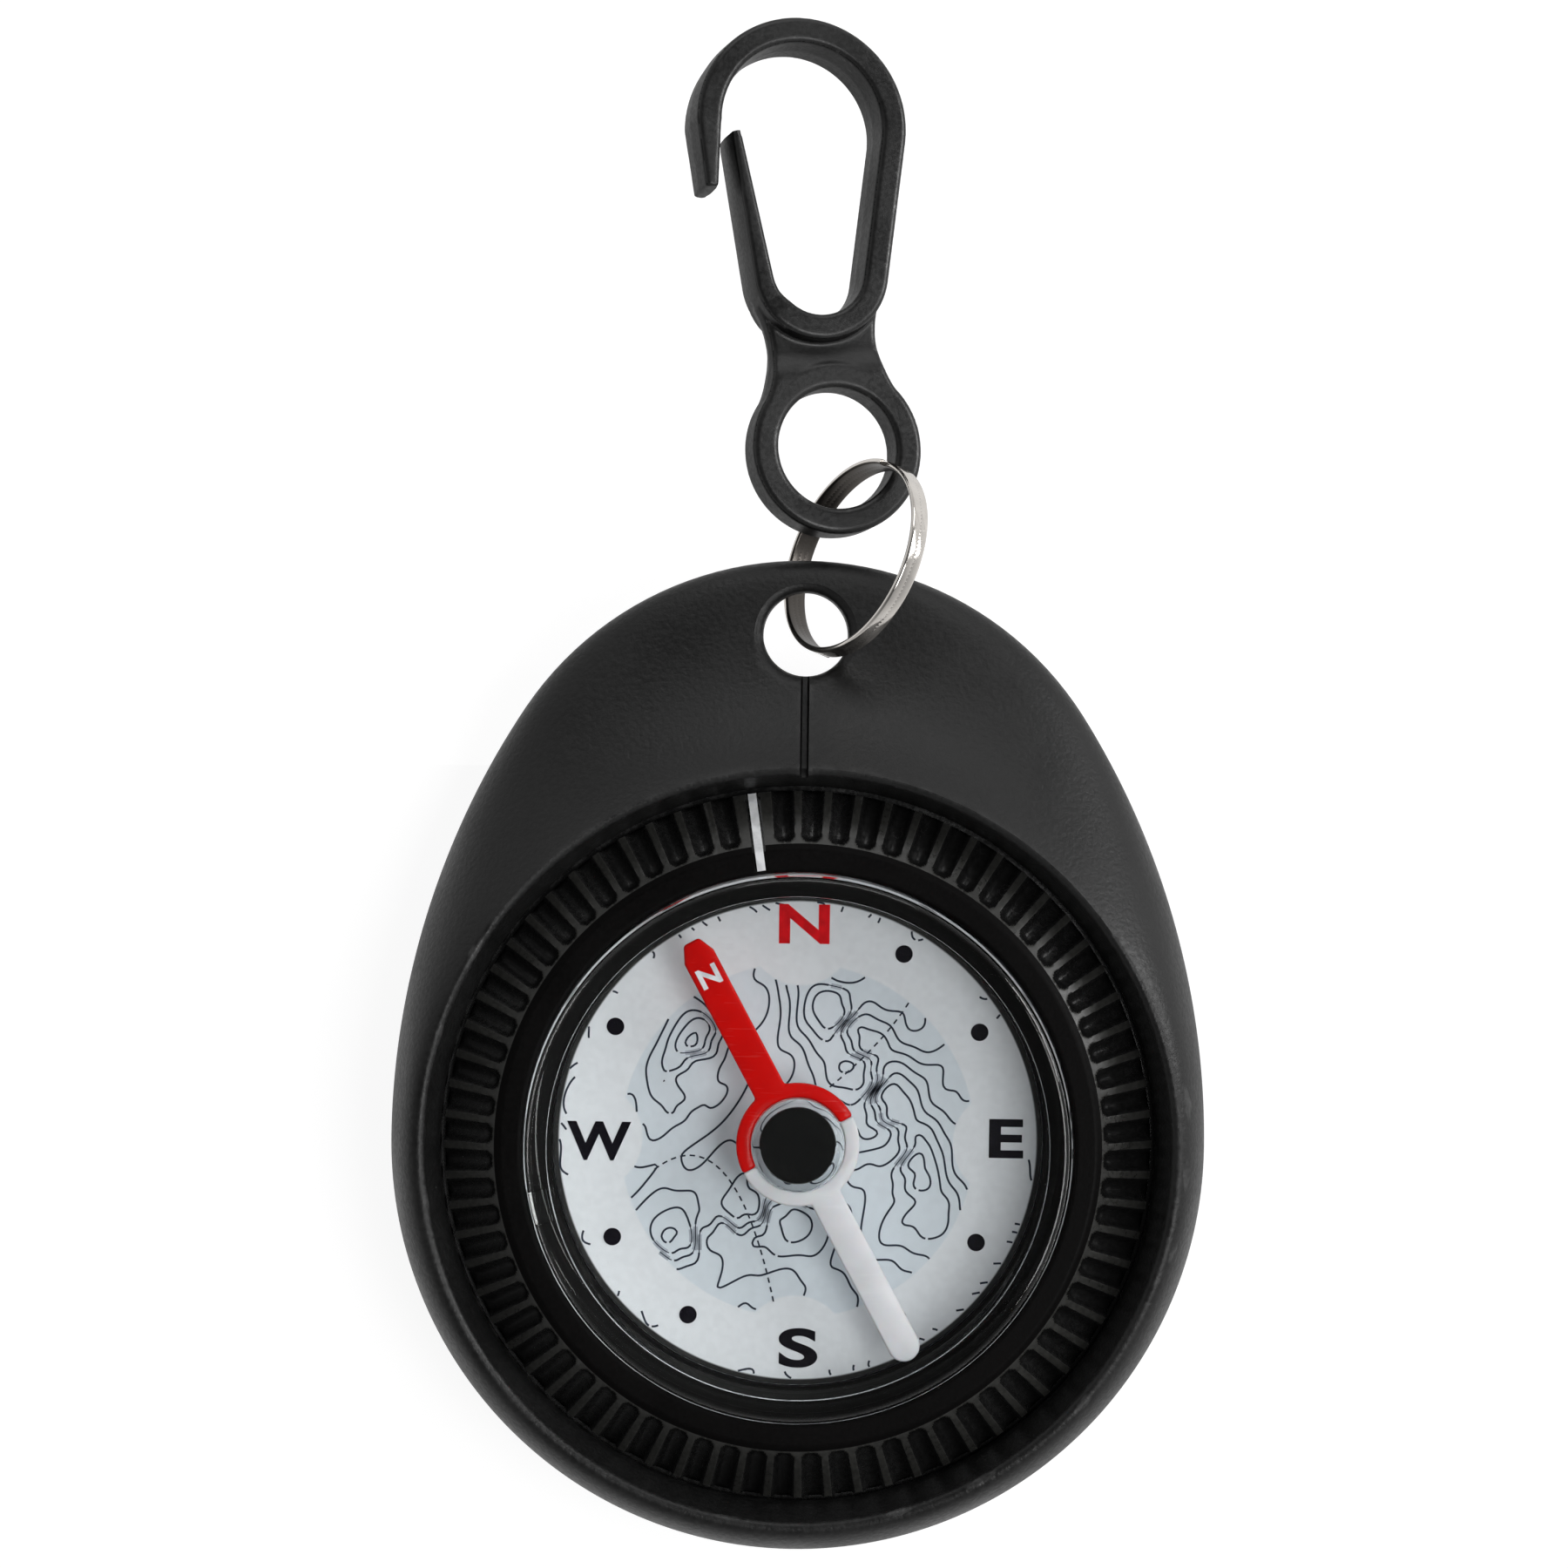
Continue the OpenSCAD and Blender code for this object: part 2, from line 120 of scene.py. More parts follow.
class CompassCase(PropertyGroup):
    """Sizes of the egg-shaped case."""

    width: size("Width", "Width across the round end", CASE_HIGH.x - CASE_LOW.x)
    nose_reach: size("Nose reach", "Distance from the dial's axis to the nose tip", CASE_HIGH.y)
    nose_r: size("Nose radius", "Radius of the nose's end", 18.1 * MM)
    part_z: size("Parting line", "Height of the line between the two halves", CASE_LOW.z)
    rim_z: size("Rim height", "Height of the crater's rim", CASE_HIGH.z)
    rim_r: size("Rim radius", "Radius of the top of the rim", 20.1 * MM)
    throat_r: size("Throat radius", "Radius of the crater's throat", 19.15 * MM)
    throat_z: size("Throat height", "Height at which the crater's wall ends", 6.9 * MM)
    lip_z: size("Lip height", "Height of the underside of the lip over the bezel's foot", 6.2 * MM)
    bore_r: size("Bore radius", "Radius of the room for the bezel's foot", 20.6 * MM)
    floor_z: size("Floor", "Height of the floor inside the back", 1.2 * MM)
    seam: size("Seam", "Chamfer on both sides of the parting line", 0.09 * MM)
    hole_r: size("Hole radius", "Radius of the lanyard hole", 2.3 * MM)
    hole_at: place("Hole centre", "Centre of the lanyard hole", (0, 27.35, 0))
    hole_round: size("Hole rounding", "Radius of the hole's rounded edges", 0.6 * MM)
    groove_w: size("Groove width", "Width of the sighting groove", 0.5 * MM)
    groove_d: size("Groove depth", "Depth of the sighting groove", 0.75 * MM)


class CompassBezel(PropertyGroup):
    """Sizes of the ribbed bezel."""

    bore_r: size("Bore radius", "Radius of the bore round the capsule", 14.58 * MM)
    band_r: size("Band radius", "Outer radius of the flat band", 15.8 * MM)
    band_z: size("Band height", "Height of the flat band", BEZEL_HIGH.z)
    skirt_r: size("Skirt radius", "Outer radius of the sloping skirt", 18.9 * MM)
    skirt_z: size("Skirt height", "Height of the skirt's outer edge", 6.9 * MM)
    foot_r: size("Foot radius", "Radius of the foot that runs under the case's lip", BEZEL_HIGH.x)
    foot_z: size("Foot height", "Height of the underside", BEZEL_LOW.z)
    foot_t: size("Foot thickness", "Thickness of the foot", 1.3 * MM)
    count: IntProperty(name="Flutes", description="Pitches round the bezel, one of them plain", default=72)
    flute_w: size("Flute half width", "Half the width of a flute at the surface", 0.55 * MM)
    flute_d: size("Flute depth", "Depth of a flute", 0.4 * MM)
    flute_in: size("Flute start", "Distance of a flute's round end from the band", 0.5 * MM)
    index_w: size("Index width", "Width of the white index line", 0.45 * MM)
    index_in: size("Index start", "Radius at which the index line starts", 14.78 * MM)
    index_a: angle("Index angle", "Angle of the index line, anticlockwise from the nose", 8.4)


class CompassCapsule(PropertyGroup):
    """Sizes of the liquid capsule and its dial."""

    radius: size("Radius", "Outer radius of the lens", LENS_HIGH.x)
    top: size("Top", "Height of the lens", LENS_HIGH.z)
    bottom: size("Bottom", "Height of the lens's lower edge", LENS_LOW.z)
    wall: size("Wall", "Wall thickness of the lens", 1.2 * MM)
    edge_r: size("Edge height", "Height of the lens's rounded upper edge", 0.8 * MM)
    edge_w: size("Edge width", "Width of the lens's rounded upper edge", 0.5 * MM)
    inner_edge: size("Inner edge", "Radius of the lens's inner corner", 0.12 * MM)
    seal_gap: size("Seal gap", "Gap between the lens and its seal", 0.03 * MM)
    plug_slack: size("Plug slack", "Gap between the fill plug and its pocket", 0.03 * MM)
    dial_z: size("Dial height", "Height of the printed face", CARD_HIGH.z)
    dial_r: size("Dial radius", "Radius of the printed card", CARD_HIGH.x)
    letter_r: size("Letter radius", "Distance of the letters' white patches from the axis", 11.3 * MM)
    dots_r: size("Dot circle", "Radius of the circle of dots", 11.33 * MM)
    dots_at: place("Dot circle centre", "Centre of the circle of dots", (-0.1, 0.31, 0))
    letter_h: size("Letter height", "Height of the letters", 2.1 * MM)
    dot_r: size("Dot radius", "Radius of the dots between the letters", 0.47 * MM)
    map_r: size("Map radius", "Radius of the map printed in the middle", 9.6 * MM)
    tab_r: size("Tab radius", "Radius of the white patch behind a letter", 2.9 * MM)
    border_r: size("Border radius", "Inner radius of the map's border at the dial's edge", 12.45 * MM)
    print_r: size("Print radius", "Radius at which the card's black edge starts", 12.85 * MM)
    ink_t: size("Ink thickness", "Thickness of the printed ink", 0.012 * MM)
    line_w: size("Line width", "Width of a contour line", 0.11 * MM)


class CompassNeedle(PropertyGroup):
    """Sizes of the needle."""

    turn: angle("Angle", "Angle of the north end, anticlockwise from the nose", 28.7)
    low: size("Low", "Height of the underside of the arms", NORTH_LOW.z)
    high: size("High", "Height of the top of the arms", NORTH_HIGH.z)
    north_reach: size("North reach", "Reach of the north end from the pivot", 12.2 * MM)
    south_reach: size("South reach", "Reach of the south end from the pivot", 12.95 * MM)
    north_w: size("North width", "Width of the north arm", 1.75 * MM)
    south_w: size("South width", "Width of the south arm", 1.7 * MM)
    tip_w: size("Tip width", "Width of the north arm's blunt tip", 0.9 * MM)
    taper: size("Tip taper", "Length of the chamfers at the tip", 0.9 * MM)
    hub_r: size("Hub radius", "Radius of the clear hub", HUB_HIGH.x)
    ring_r: size("Ring radius", "Outer radius of the half rings round the hub", 3.3 * MM)
    hub_low: size("Hub low", "Height of the hub's underside", HUB_LOW.z)
    hub_top: size("Hub top", "Height of the hub's top", HUB_HIGH.z)
    well_r: size("Well radius", "Radius of the well that holds the magnet", 2.0 * MM)
    well_top: size("Well top", "Height of the top of that well", 6.7 * MM)
    mark_r: size("Mark radius", "Distance of the small letter from the pivot", 10.15 * MM)
    mark_h: size("Mark height", "Height of the small letter", 1.1 * MM)


class CompassRing(PropertyGroup):
    """Sizes of the split ring."""

    at: place("Centre", "Centre of the split ring", (2.59, 31.45, 5.4))
    turn: turns("Turns", "How the split ring lies", (0, -57.5, -20.1))
    radius: size("Radius", "Outer radius", 5.7 * MM)
    wire: size("Wire", "Thickness of the wire across the ring", 0.7 * MM)
    band: size("Band", "Height of the coil along its axis", 1.15 * MM)
    coils: number("Coils", "Number of turns of the wire", 2.5)


class CompassHook(PropertyGroup):
    """Sizes of the snap hook, in its own flat frame with the eye at the origin."""

    at: place("Eye", "Centre of the eye", (1.32, 37.4, 3.85))
    turn: turns("Turns", "How the hook lies", (-2.2, 14.5, 6.3))
    arch_at: place("Arch", "Centre of the arch", (-0.25, 17.6, 0))
    arch_r: size("Arch radius", "Outer radius of the arch", 5.9 * MM)
    foot_at: place("Foot", "Centre of the loop's foot", (-0.1, 9.65, 0))
    foot_r: size("Foot radius", "Outer radius of the loop's foot", 3.9 * MM)
    bar: size("Bar", "Width of the loop's bar", 1.5 * MM)
    thick: size("Thickness", "Thickness of the loop", 3.6 * MM)
    beak_y: size("Beak", "Where the beak ends", 14.5 * MM)
    beak_lean: angle("Beak lean", "How far the beak leans in", -3)
    tip_at: place("Tongue tip", "Where the tongue ends", (-3.95, 17.4, 0))
    tip_w: size("Tip width", "Width of the tongue's tip", 0.65 * MM)
    tongue_t: size("Tongue thickness", "Thickness of the tongue", 3.4 * MM)
    eye_r: size("Eye radius", "Outer radius of the eye", 4.7 * MM)
    eye_hole_r: size("Eye hole", "Radius of the hole in the eye", 3.3 * MM)
    eye_t: size("Eye thickness", "Thickness of the eye", 2.4 * MM)
    neck_t: size("Neck thickness", "Thickness of the neck", 1.6 * MM)
    neck_fillet: size("Neck fillet", "Radius of the neck's hollow sides", 5.5 * MM)


class CompassColours(PropertyGroup):
    """Colours of the finishes."""

    case: colour("Case", "Black of the moulded case", 21, 21, 21)
    # The rib tops' black is lighter than the case's as a painted highlight
    bezel: colour("Bezel", "Lighter black of the rib tops, as painted highlight", 46, 46, 44)
    hook: colour("Hook", "Black of the snap hook", 22, 22, 22)
    seal: colour("Seal", "Black of the capsule's seal and the magnet", 9, 8, 8)
    card: colour("Card", "White of the dial", 236, 238, 243)
    map_tint: colour("Map tint", "Pale blue grey of the map", 222, 229, 237)
    ink: colour("Ink", "Near black of the letters and dots", 14, 10, 20)
    line: colour("Line", "Grey blue of the contour lines", 46, 52, 66)
    wash: colour("Wash", "Grey of the shading along the map's cliffs", 178, 184, 195)
    red: colour("Red", "Red of the north letter", 224, 8, 22)
    needle_red: colour("Needle red", "Red of the north arm", 212, 5, 2)
    needle_white: colour("Needle white", "White of the south arm", 224, 223, 228)
    index: colour("Index", "White of the index line", 238, 240, 242)
    nickel: colour("Nickel", "Bright plating of the split ring", 234, 229, 223)
    # Darker plating for the split ring's inner faces: painted shade and painted dark reflection
    ring_painted_shade: colour("Painted shade plating", "Plating inside the split ring, darkened as painted shade", 92, 88, 84)
    floor: colour("Floor", "Floor under the lamps", 150, 150, 150)


class CompassStage(PropertyGroup):
    """Camera, floor and lamps."""

    camera_at: place("Camera", "Place of the camera, which looks straight down", (-1.05, 19.24, 200))
    camera_roll: angle("Camera roll", "Turn of the camera about its line of sight", 0.93)
    lens: number("Lens", "Focal length in millimetres", 82.9)
    walls: number("Walls", "Brightness of the room near the floor", 0.78)
    left_wall: number("Left wall", "Brightness of the left wall as a share of the right one's", 0.7)
    ceiling: number("Ceiling", "Brightness of the room overhead", 0.03)
    dip_start: size("Dip start", "Where the floor starts to fall, in front of the case's base", 20 * MM)
    dip_end: size("Dip end", "Where the floor has fallen", 36 * MM)
    dip: size("Dip", "How far the floor falls", 9 * MM)
    floor_glow: number("Floor glow", "How much the floor lifts to white", 0.88)
    floor_mirrored: number("Mirrored floor", "Share of that glow that shows in shiny surfaces", 0.6)


# Helpers for meshes


def link(piece):
    """Adds an object to the scene."""
    bpy.context.scene.collection.objects.link(piece)
    return piece


def new_piece(name, verts, faces, *materials):
    """A mesh object at the origin, from points in the object's frame."""
    mesh = bpy.data.meshes.new(name)
    mesh.from_pydata(verts, [], faces)
    for material in materials:
        mesh.materials.append(material)
    return link(bpy.data.objects.new(name, mesh))


def close_up(piece, gap=1e-4 * MM):
    """Merges doubles and turns the faces outwards."""
    bm = bmesh.new()
    bm.from_mesh(piece.data)
    bmesh.ops.remove_doubles(bm, verts=bm.verts, dist=gap)
    bmesh.ops.dissolve_degenerate(bm, edges=bm.edges, dist=gap)
    bmesh.ops.recalc_face_normals(bm, faces=bm.faces)
    bm.to_mesh(piece.data)
    bm.free()
    piece.data.update()
    return piece


def shade(piece, degrees):
    """Smooth shading, with edges sharper than an angle kept sharp."""
    piece.data.shade_smooth()
    piece.data.set_sharp_from_angle(angle=math.radians(degrees))
    return piece


def bake(piece):
    """Turns a piece's modifiers into its plain mesh."""
    graph = bpy.context.evaluated_depsgraph_get()
    mesh = bpy.data.meshes.new_from_object(piece.evaluated_get(graph))
    piece.modifiers.clear()
    old = piece.data
    piece.data = mesh
    mesh.name = piece.name
    bpy.data.meshes.remove(old)
    return piece


def discard(*pieces):
    """Removes helper objects and their meshes."""
    for piece in pieces:
        mesh = piece.data
        bpy.data.objects.remove(piece)
        bpy.data.meshes.remove(mesh)


def cut(piece, *cutters):
    """Takes the cutters out of a piece."""
    for cutter in cutters:
        boolean = piece.modifiers.new("Cut", "BOOLEAN")
        boolean.operation = "DIFFERENCE"
        boolean.solver = "EXACT"
        boolean.object = cutter
    bake(piece)
    discard(*cutters)
    return piece


def join(name, pieces):
    """One mesh piece from several."""
    verts, faces, slots, materials = [], [], [], []
    for piece in pieces:
        start = len(verts)
        verts += [vert.co.copy() for vert in piece.data.vertices]
        own = list(piece.data.materials)
        materials += [material for material in own if material not in materials]
        for face in piece.data.polygons:
            faces.append([start + index for index in face.vertices])
            slots.append(materials.index(own[face.material_index]) if own else 0)
    discard(*pieces)
    whole = new_piece(name, verts, faces, *materials)
    whole.data.polygons.foreach_set("material_index", slots)
    return whole


def loft(sections, ring=True, wrap=False):
    """Points and faces through sections, which are rings or lines. A wrap joins the last to the first."""
    count, n = len(sections), len(sections[0])
    verts = [point for section in sections for point in section]
    faces = []
    for i in range(count if wrap else count - 1):
        here, there = i * n, (i + 1) % count * n
        for k in range(n if ring else n - 1):
            j = (k + 1) % n
            faces.append((here + k, there + k, there + j, here + j))
    return verts, faces


def capped(sections):
    """Points and faces of a bar through rings of points, with both ends closed."""
    verts, faces = loft(sections)
    n = len(sections[0])
    return verts, faces + [tuple(range(n)), tuple(range(len(verts) - n, len(verts)))]


def revolved(name, section_at, steps, ring, *materials):
    """A closed mesh through sections of (radius, height) at angles round the dial's axis."""
    sections = []
    for i in range(steps):
        a = math.tau * i / steps
        sections.append([(r * math.cos(a), r * math.sin(a), z) for r, z in section_at(a)])
    return close_up(new_piece(name, *loft(sections, ring, wrap=True), *materials))


def arc(centre, radius, start, end, steps):
    """Points of an arc, angles in radians, both ends included."""
    angles = [mix(start, end, k / steps) for k in range(steps + 1)]
    return [(centre[0] + radius * math.cos(a), centre[1] + radius * math.sin(a)) for a in angles]


def prism(name, outline, low, high, *materials):
    """A straight extrusion of a flat outline."""
    rings = [[(x, y, z) for x, y in outline] for z in (low, high)]
    return close_up(new_piece(name, *capped(rings), *materials))


def bevel(piece, width, segments, degrees):
    """Rounds the edges sharper than an angle."""
    modifier = piece.modifiers.new("Edges", "BEVEL")
    modifier.width = width
    modifier.segments = segments
    modifier.limit_method = "ANGLE"
    modifier.angle_limit = math.radians(degrees)
    return bake(piece)


def move(piece, matrix):
    """Applies a place to the piece's mesh."""
    piece.data.transform(matrix)
    piece.data.update()
    return piece


def mix(a, b, t):
    """A value between two, by a share of the way."""
    return a + (b - a) * t


def bezier(points, t):
    """A point of a cubic curve through four control points of (radius, height)."""
    weights = ((1 - t) ** 3, 3 * t * (1 - t) ** 2, 3 * t * t * (1 - t), t**3)
    return tuple(sum(w * p[i] for w, p in zip(weights, points)) for i in (0, 1))


def pose_matrix(at, turn):
    """A place and turns as one matrix."""
    return Matrix.Translation(Vector(at)) @ Euler(turn, "XYZ").to_matrix().to_4x4()


# Helpers for node trees


def add_node(tree, kind, inputs=None, **settings):
    """A node with its settings, and its inputs set or linked by name or number."""
    node = tree.nodes.new(kind)
    for name, value in settings.items():
        setattr(node, name, value)
    for name, value in (inputs or {}).items():
        if isinstance(value, bpy.types.NodeSocket):
            tree.links.new(value, node.inputs[name])
        else:
            node.inputs[name].default_value = value
    return node


def feed(node, **sources):
    """Links sources to a node's inputs, which are named with underscores for spaces."""
    for name, source in sources.items():
        node.id_data.links.new(source, node.inputs[name.replace("_", " ")])


def new_tree(name, kind, inputs, outputs):
    """A node group with sockets given as name and kind, its entry's outputs and its exit."""
    tree = bpy.data.node_groups.new(name, kind + "NodeTree")
    for in_out, sockets in (("INPUT", inputs), ("OUTPUT", outputs)):
        for socket_name, socket_kind in sockets.items():
            tree.interface.new_socket(socket_name, in_out=in_out, socket_type="NodeSocket" + socket_kind)
    return tree, tree.nodes.new("NodeGroupInput").outputs, tree.nodes.new("NodeGroupOutput")


def geometry_tree(name, sockets):
    """A node group that makes a shape from named inputs and a material."""
    return new_tree(name, "Geometry", {**sockets, "Material": "Material"}, {"Geometry": "Geometry"})


def scatter(tree, spots, shape, **choices):
    """Copies of a shape on points."""
    inputs = {"Points": spots, "Instance": shape, **choices}
    return add_node(tree, "GeometryNodeInstanceOnPoints", inputs).outputs[0]


def realize(tree, copies):
    """Copies as one plain mesh."""
    return add_node(tree, "GeometryNodeRealizeInstances", {0: copies}).outputs[0]


def painted(tree, given, out, shape):
    """Ends a tree by setting the material of its shape."""
    inputs = {"Geometry": shape, "Material": given["Material"]}
    feed(out, Geometry=add_node(tree, "GeometryNodeSetMaterial", inputs).outputs[0])
    return tree


def run_nodes(name, tree, values):
    """A plain mesh piece made by a tree, with its named inputs set by socket identifier."""
    piece = link(bpy.data.objects.new(name, bpy.data.meshes.new(name)))
    modifier = piece.modifiers.new("Shape", "NODES")
    modifier.node_group = tree
    for item in tree.interface.items_tree:
        if item.in_out == "INPUT" and item.name in values:
            modifier[item.identifier] = values[item.name]
    bake(piece)
    for slot in reversed([k for k, material in enumerate(piece.data.materials) if material is None]):
        piece.data.materials.pop(index=slot)
    return piece


def math_node(tree, operation, *values):
    """The result of a sum on two or three values."""
    return add_node(tree, "ShaderNodeMath", dict(enumerate(values)), operation=operation).outputs[0]


def ramp(tree, value, low, high, to_low=0.0, to_high=1.0, interpolation="SMOOTHSTEP"):
    """Maps a value from one range to another, held at both ends."""
    inputs = {"Value": value, "From Min": low, "From Max": high, "To Min": to_low, "To Max": to_high}
    return add_node(tree, "ShaderNodeMapRange", inputs, interpolation_type=interpolation).outputs[0]


def mix_colour(tree, factor, first, second):
    """A colour between two."""
    inputs = {0: factor, 6: first, 7: second}
    return add_node(tree, "ShaderNodeMix", inputs, data_type="RGBA").outputs[2]


def noise(tree, coords, scale, detail=2.0):
    """The value of a noise that has a number of grains per metre."""
    inputs = {"Vector": coords, "Scale": scale, "Detail": detail}
    return add_node(tree, "ShaderNodeTexNoise", inputs).outputs[0]


def cloudy(tree, coords, grains, low, high):
    """A value that drifts between two over the surface."""
    return ramp(tree, noise(tree, coords, grains, detail=3), *CLOUD_SPREAD, low, high)


def toned(tree, base, value):
    """A colour made darker or lighter by a value."""
    return add_node(tree, "ShaderNodeHueSaturation", {"Value": value, "Color": base}).outputs[0]


def away_from(tree, coords, spot):
    """Distance from a spot, seen along Z."""
    flat = add_node(tree, "ShaderNodeVectorMath", {0: coords, 1: (1, 1, 0)}, operation="MULTIPLY")
    inputs = {0: flat.outputs[0], 1: spot}
    return add_node(tree, "ShaderNodeVectorMath", inputs, operation="DISTANCE").outputs["Value"]


def group_node(tree, group, inputs):
    """The outputs of a shader group placed in a material."""
    return add_node(tree, "ShaderNodeGroup", inputs, node_tree=bpy.data.node_groups[group]).outputs


def new_material(name, **principled):
    """A material with a Principled shader, whose inputs are named with underscores for spaces."""
    material = bpy.data.materials.new(name)
    material.use_nodes = True
    tree = material.node_tree
    tree.nodes.clear()
    inputs = {key.replace("_", " "): value for key, value in principled.items()}
    shader = add_node(tree, "ShaderNodeBsdfPrincipled", inputs)
    add_node(tree, "ShaderNodeOutputMaterial", {"Surface": shader.outputs[0]})
    return tree, shader


def object_coords(tree):
    """Places in a piece's own frame."""
    return add_node(tree, "ShaderNodeTexCoord").outputs["Object"]


def bump(tree, shader, height, strength, distance):
    """Raises a surface's normal by a height."""
    inputs = {"Height": height, "Strength": strength, "Distance": distance}
    feed(shader, Normal=add_node(tree, "ShaderNodeBump", inputs).outputs[0])


# Shared shader effects

# Parts of a noise's range that are used, so that its rare ends don't show
CLOUD_SPREAD = (0.3, 0.7)
GRAIN_SPREAD = (0.35, 0.65)
SCRATCH_SPREAD = (0.66, 0.72)
WORN_PATCH = (0.4, 0.65)
# Sharpness at which an edge starts to wear and is all worn
WORN_EDGE = (0.515, 0.58)
# Clouds and patches of wear per metre
MOULDING_CLOUDS = 160
WEAR_PATCHES = 900
# Directions of the scratches, as (turn, how much longer than wide)
SCRATCH_RUNS = ((0.5, 14), (2.1, 18))


def moulded_grain():
    """Fine spark-eroded grain of a moulding, with cloudy changes of gloss and colour."""
    tree, given, out = new_tree(
        "Moulded grain",
        "Shader",
        {"Colour": "Color", "Grains": "Float", "Gloss": "Float"},
        {"Colour": "Color", "Roughness": "Float", "Height": "Float"},
    )
    coords = object_coords(tree)
    fine = noise(tree, coords, given["Grains"], detail=3)
    cloud = noise(tree, coords, MOULDING_CLOUDS, detail=3)
    lighter = toned(tree, given["Colour"], ramp(tree, cloud, *CLOUD_SPREAD, 0.82, 1.25))
    speckled = toned(tree, lighter, ramp(tree, fine, *GRAIN_SPREAD, 0.85, 1.2))
    rough = math_node(tree, "ADD", given["Gloss"], ramp(tree, cloud, *CLOUD_SPREAD, -0.05, 0.05))
    rough = math_node(tree, "ADD", rough, ramp(tree, fine, *GRAIN_SPREAD, -0.04, 0.04))
    feed(out, Colour=speckled, Roughness=rough, Height=fine)


def edge_wear():
    """Mask of the edges that hands rub, broken up by a noise."""
    tree, given, out = new_tree("Edge wear", "Shader", {"Amount": "Float"}, {"Mask": "Float"})
    edge = add_node(tree, "ShaderNodeNewGeometry").outputs["Pointiness"]
    broken = noise(tree, object_coords(tree), WEAR_PATCHES, detail=4)
    mask = math_node(tree, "MULTIPLY", ramp(tree, edge, *WORN_EDGE), ramp(tree, broken, *WORN_PATCH))
    feed(out, Mask=math_node(tree, "MULTIPLY", mask, given["Amount"]))


def fine_scratches():
    """Hairline scratches in two directions."""
    tree, given, out = new_tree("Fine scratches", "Shader", {"Spacing": "Float"}, {"Mask": "Float"})
    coords = object_coords(tree)
    masks = []
    for turn, stretch in SCRATCH_RUNS:
        inputs = {"Vector": coords, "Rotation": (0, 0, turn), "Scale": (1, stretch, 1)}
        mapped = add_node(tree, "ShaderNodeMapping", inputs).outputs[0]
        inputs = {0: mapped, "Scale": given["Spacing"]}
        scaled = add_node(tree, "ShaderNodeVectorMath", inputs, operation="SCALE").outputs[0]
        masks.append(ramp(tree, noise(tree, scaled, scale=1), *SCRATCH_SPREAD))
    feed(out, Mask=math_node(tree, "MAXIMUM", *masks))


# Materials

# Colour and polish of rubbed edges, tints, and small lengths in the finishes
RUBBED_BLACK = (0.12, 0.12, 0.12, 1)
RUBBED_POLISH = 0.2
CLEAR_TINT = (0.97, 0.985, 0.98, 1)
BRASS = (0.55, 0.33, 0.11, 1)
PRINT_SOFT = 0.06 * MM
MILK_DEPTH = 0.6 * MM
PLATING_WAVE = 0.02 * MM


def hairlines(tree, spacing, low, high):
    """A roughness that rises along hairline scratches."""
    mask = group_node(tree, "Fine scratches", {"Spacing": spacing})["Mask"]
    return ramp(tree, mask, 0, 1, low, high)


def black_moulding(name, base, grains, gloss, grain_height, wear, sheen):
    """Black moulded plastic with grain and slightly polished edges."""
    tree, shader = new_material(name, IOR=1.46, Specular_IOR_Level=sheen)
    grain = group_node(tree, "Moulded grain", {"Colour": base, "Grains": grains, "Gloss": gloss})
    worn = group_node(tree, "Edge wear", {"Amount": wear})["Mask"]
    polished = math_node(tree, "MULTIPLY", worn, RUBBED_POLISH)
    feed(
        shader,
        Base_Color=mix_colour(tree, worn, grain["Colour"], RUBBED_BLACK),
        Roughness=math_node(tree, "SUBTRACT", grain["Roughness"], polished),
    )
    bump(tree, shader, grain["Height"], strength=0.5, distance=grain_height)


def let_light_through(tree, shader, tint):
    """Lets lamps shine through a clear piece."""
    lamp = add_node(tree, "ShaderNodeLightPath").outputs["Is Shadow Ray"]
    clear = add_node(tree, "ShaderNodeBsdfTransparent", {"Color": tint})
    both = add_node(tree, "ShaderNodeMixShader", {0: lamp, 1: shader.outputs[0], 2: clear.outputs[0]})
    output = next(node for node in tree.nodes if node.type == "OUTPUT_MATERIAL")
    feed(output, Surface=both.outputs[0])


def clear_acrylic(name, ior):
    """Clear acrylic with faint hairlines. The ratio is that of the two clear stuffs on either side."""
    tree, shader = new_material(
        name, Base_Color=CLEAR_TINT, Transmission_Weight=1.0, IOR=ior, Metallic=0.0
    )
    feed(shader, Roughness=hairlines(tree, spacing=260.0, low=0.015, high=0.06))
    let_light_through(tree, shader, CLEAR_TINT)


def letter_spots(capsule):
    """Middles of the four white patches behind the letters."""
    return arc((0, 0), capsule.letter_r, 0, 3 * QUARTER, steps=3)


def printed_card(name, colours, capsule):
    """The dial: white, with a pale round map that gives way to a white patch behind each letter."""
    tree, shader = new_material(name, Roughness=0.45, IOR=1.45)
    coords = object_coords(tree)

    def beyond(spot, radius):
        return ramp(tree, away_from(tree, coords, spot), radius - PRINT_SOFT, radius + PRINT_SOFT)

    printed = math_node(tree, "SUBTRACT", 1, beyond((0, 0, 0), capsule.map_r))
    for x, y in letter_spots(capsule):
        printed = math_node(tree, "MULTIPLY", printed, beyond((x, y, 0), capsule.tab_r))
    fibre = cloudy(tree, coords, grains=2600, low=0.965, high=1.02)
    paper = toned(tree, mix_colour(tree, printed, colours.card, colours.map_tint), fibre)
    feed(shader, Base_Color=mix_colour(tree, beyond((0, 0, 0), capsule.print_r), paper, colours.seal))


def printed_ink(name, base):
    """Opaque printing ink with small changes of density."""
    tree, shader = new_material(name, Roughness=0.4, Specular_IOR_Level=0.1)
    density = cloudy(tree, object_coords(tree), grains=1800, low=0.85, high=1.15)
    feed(shader, Base_Color=toned(tree, base, density))


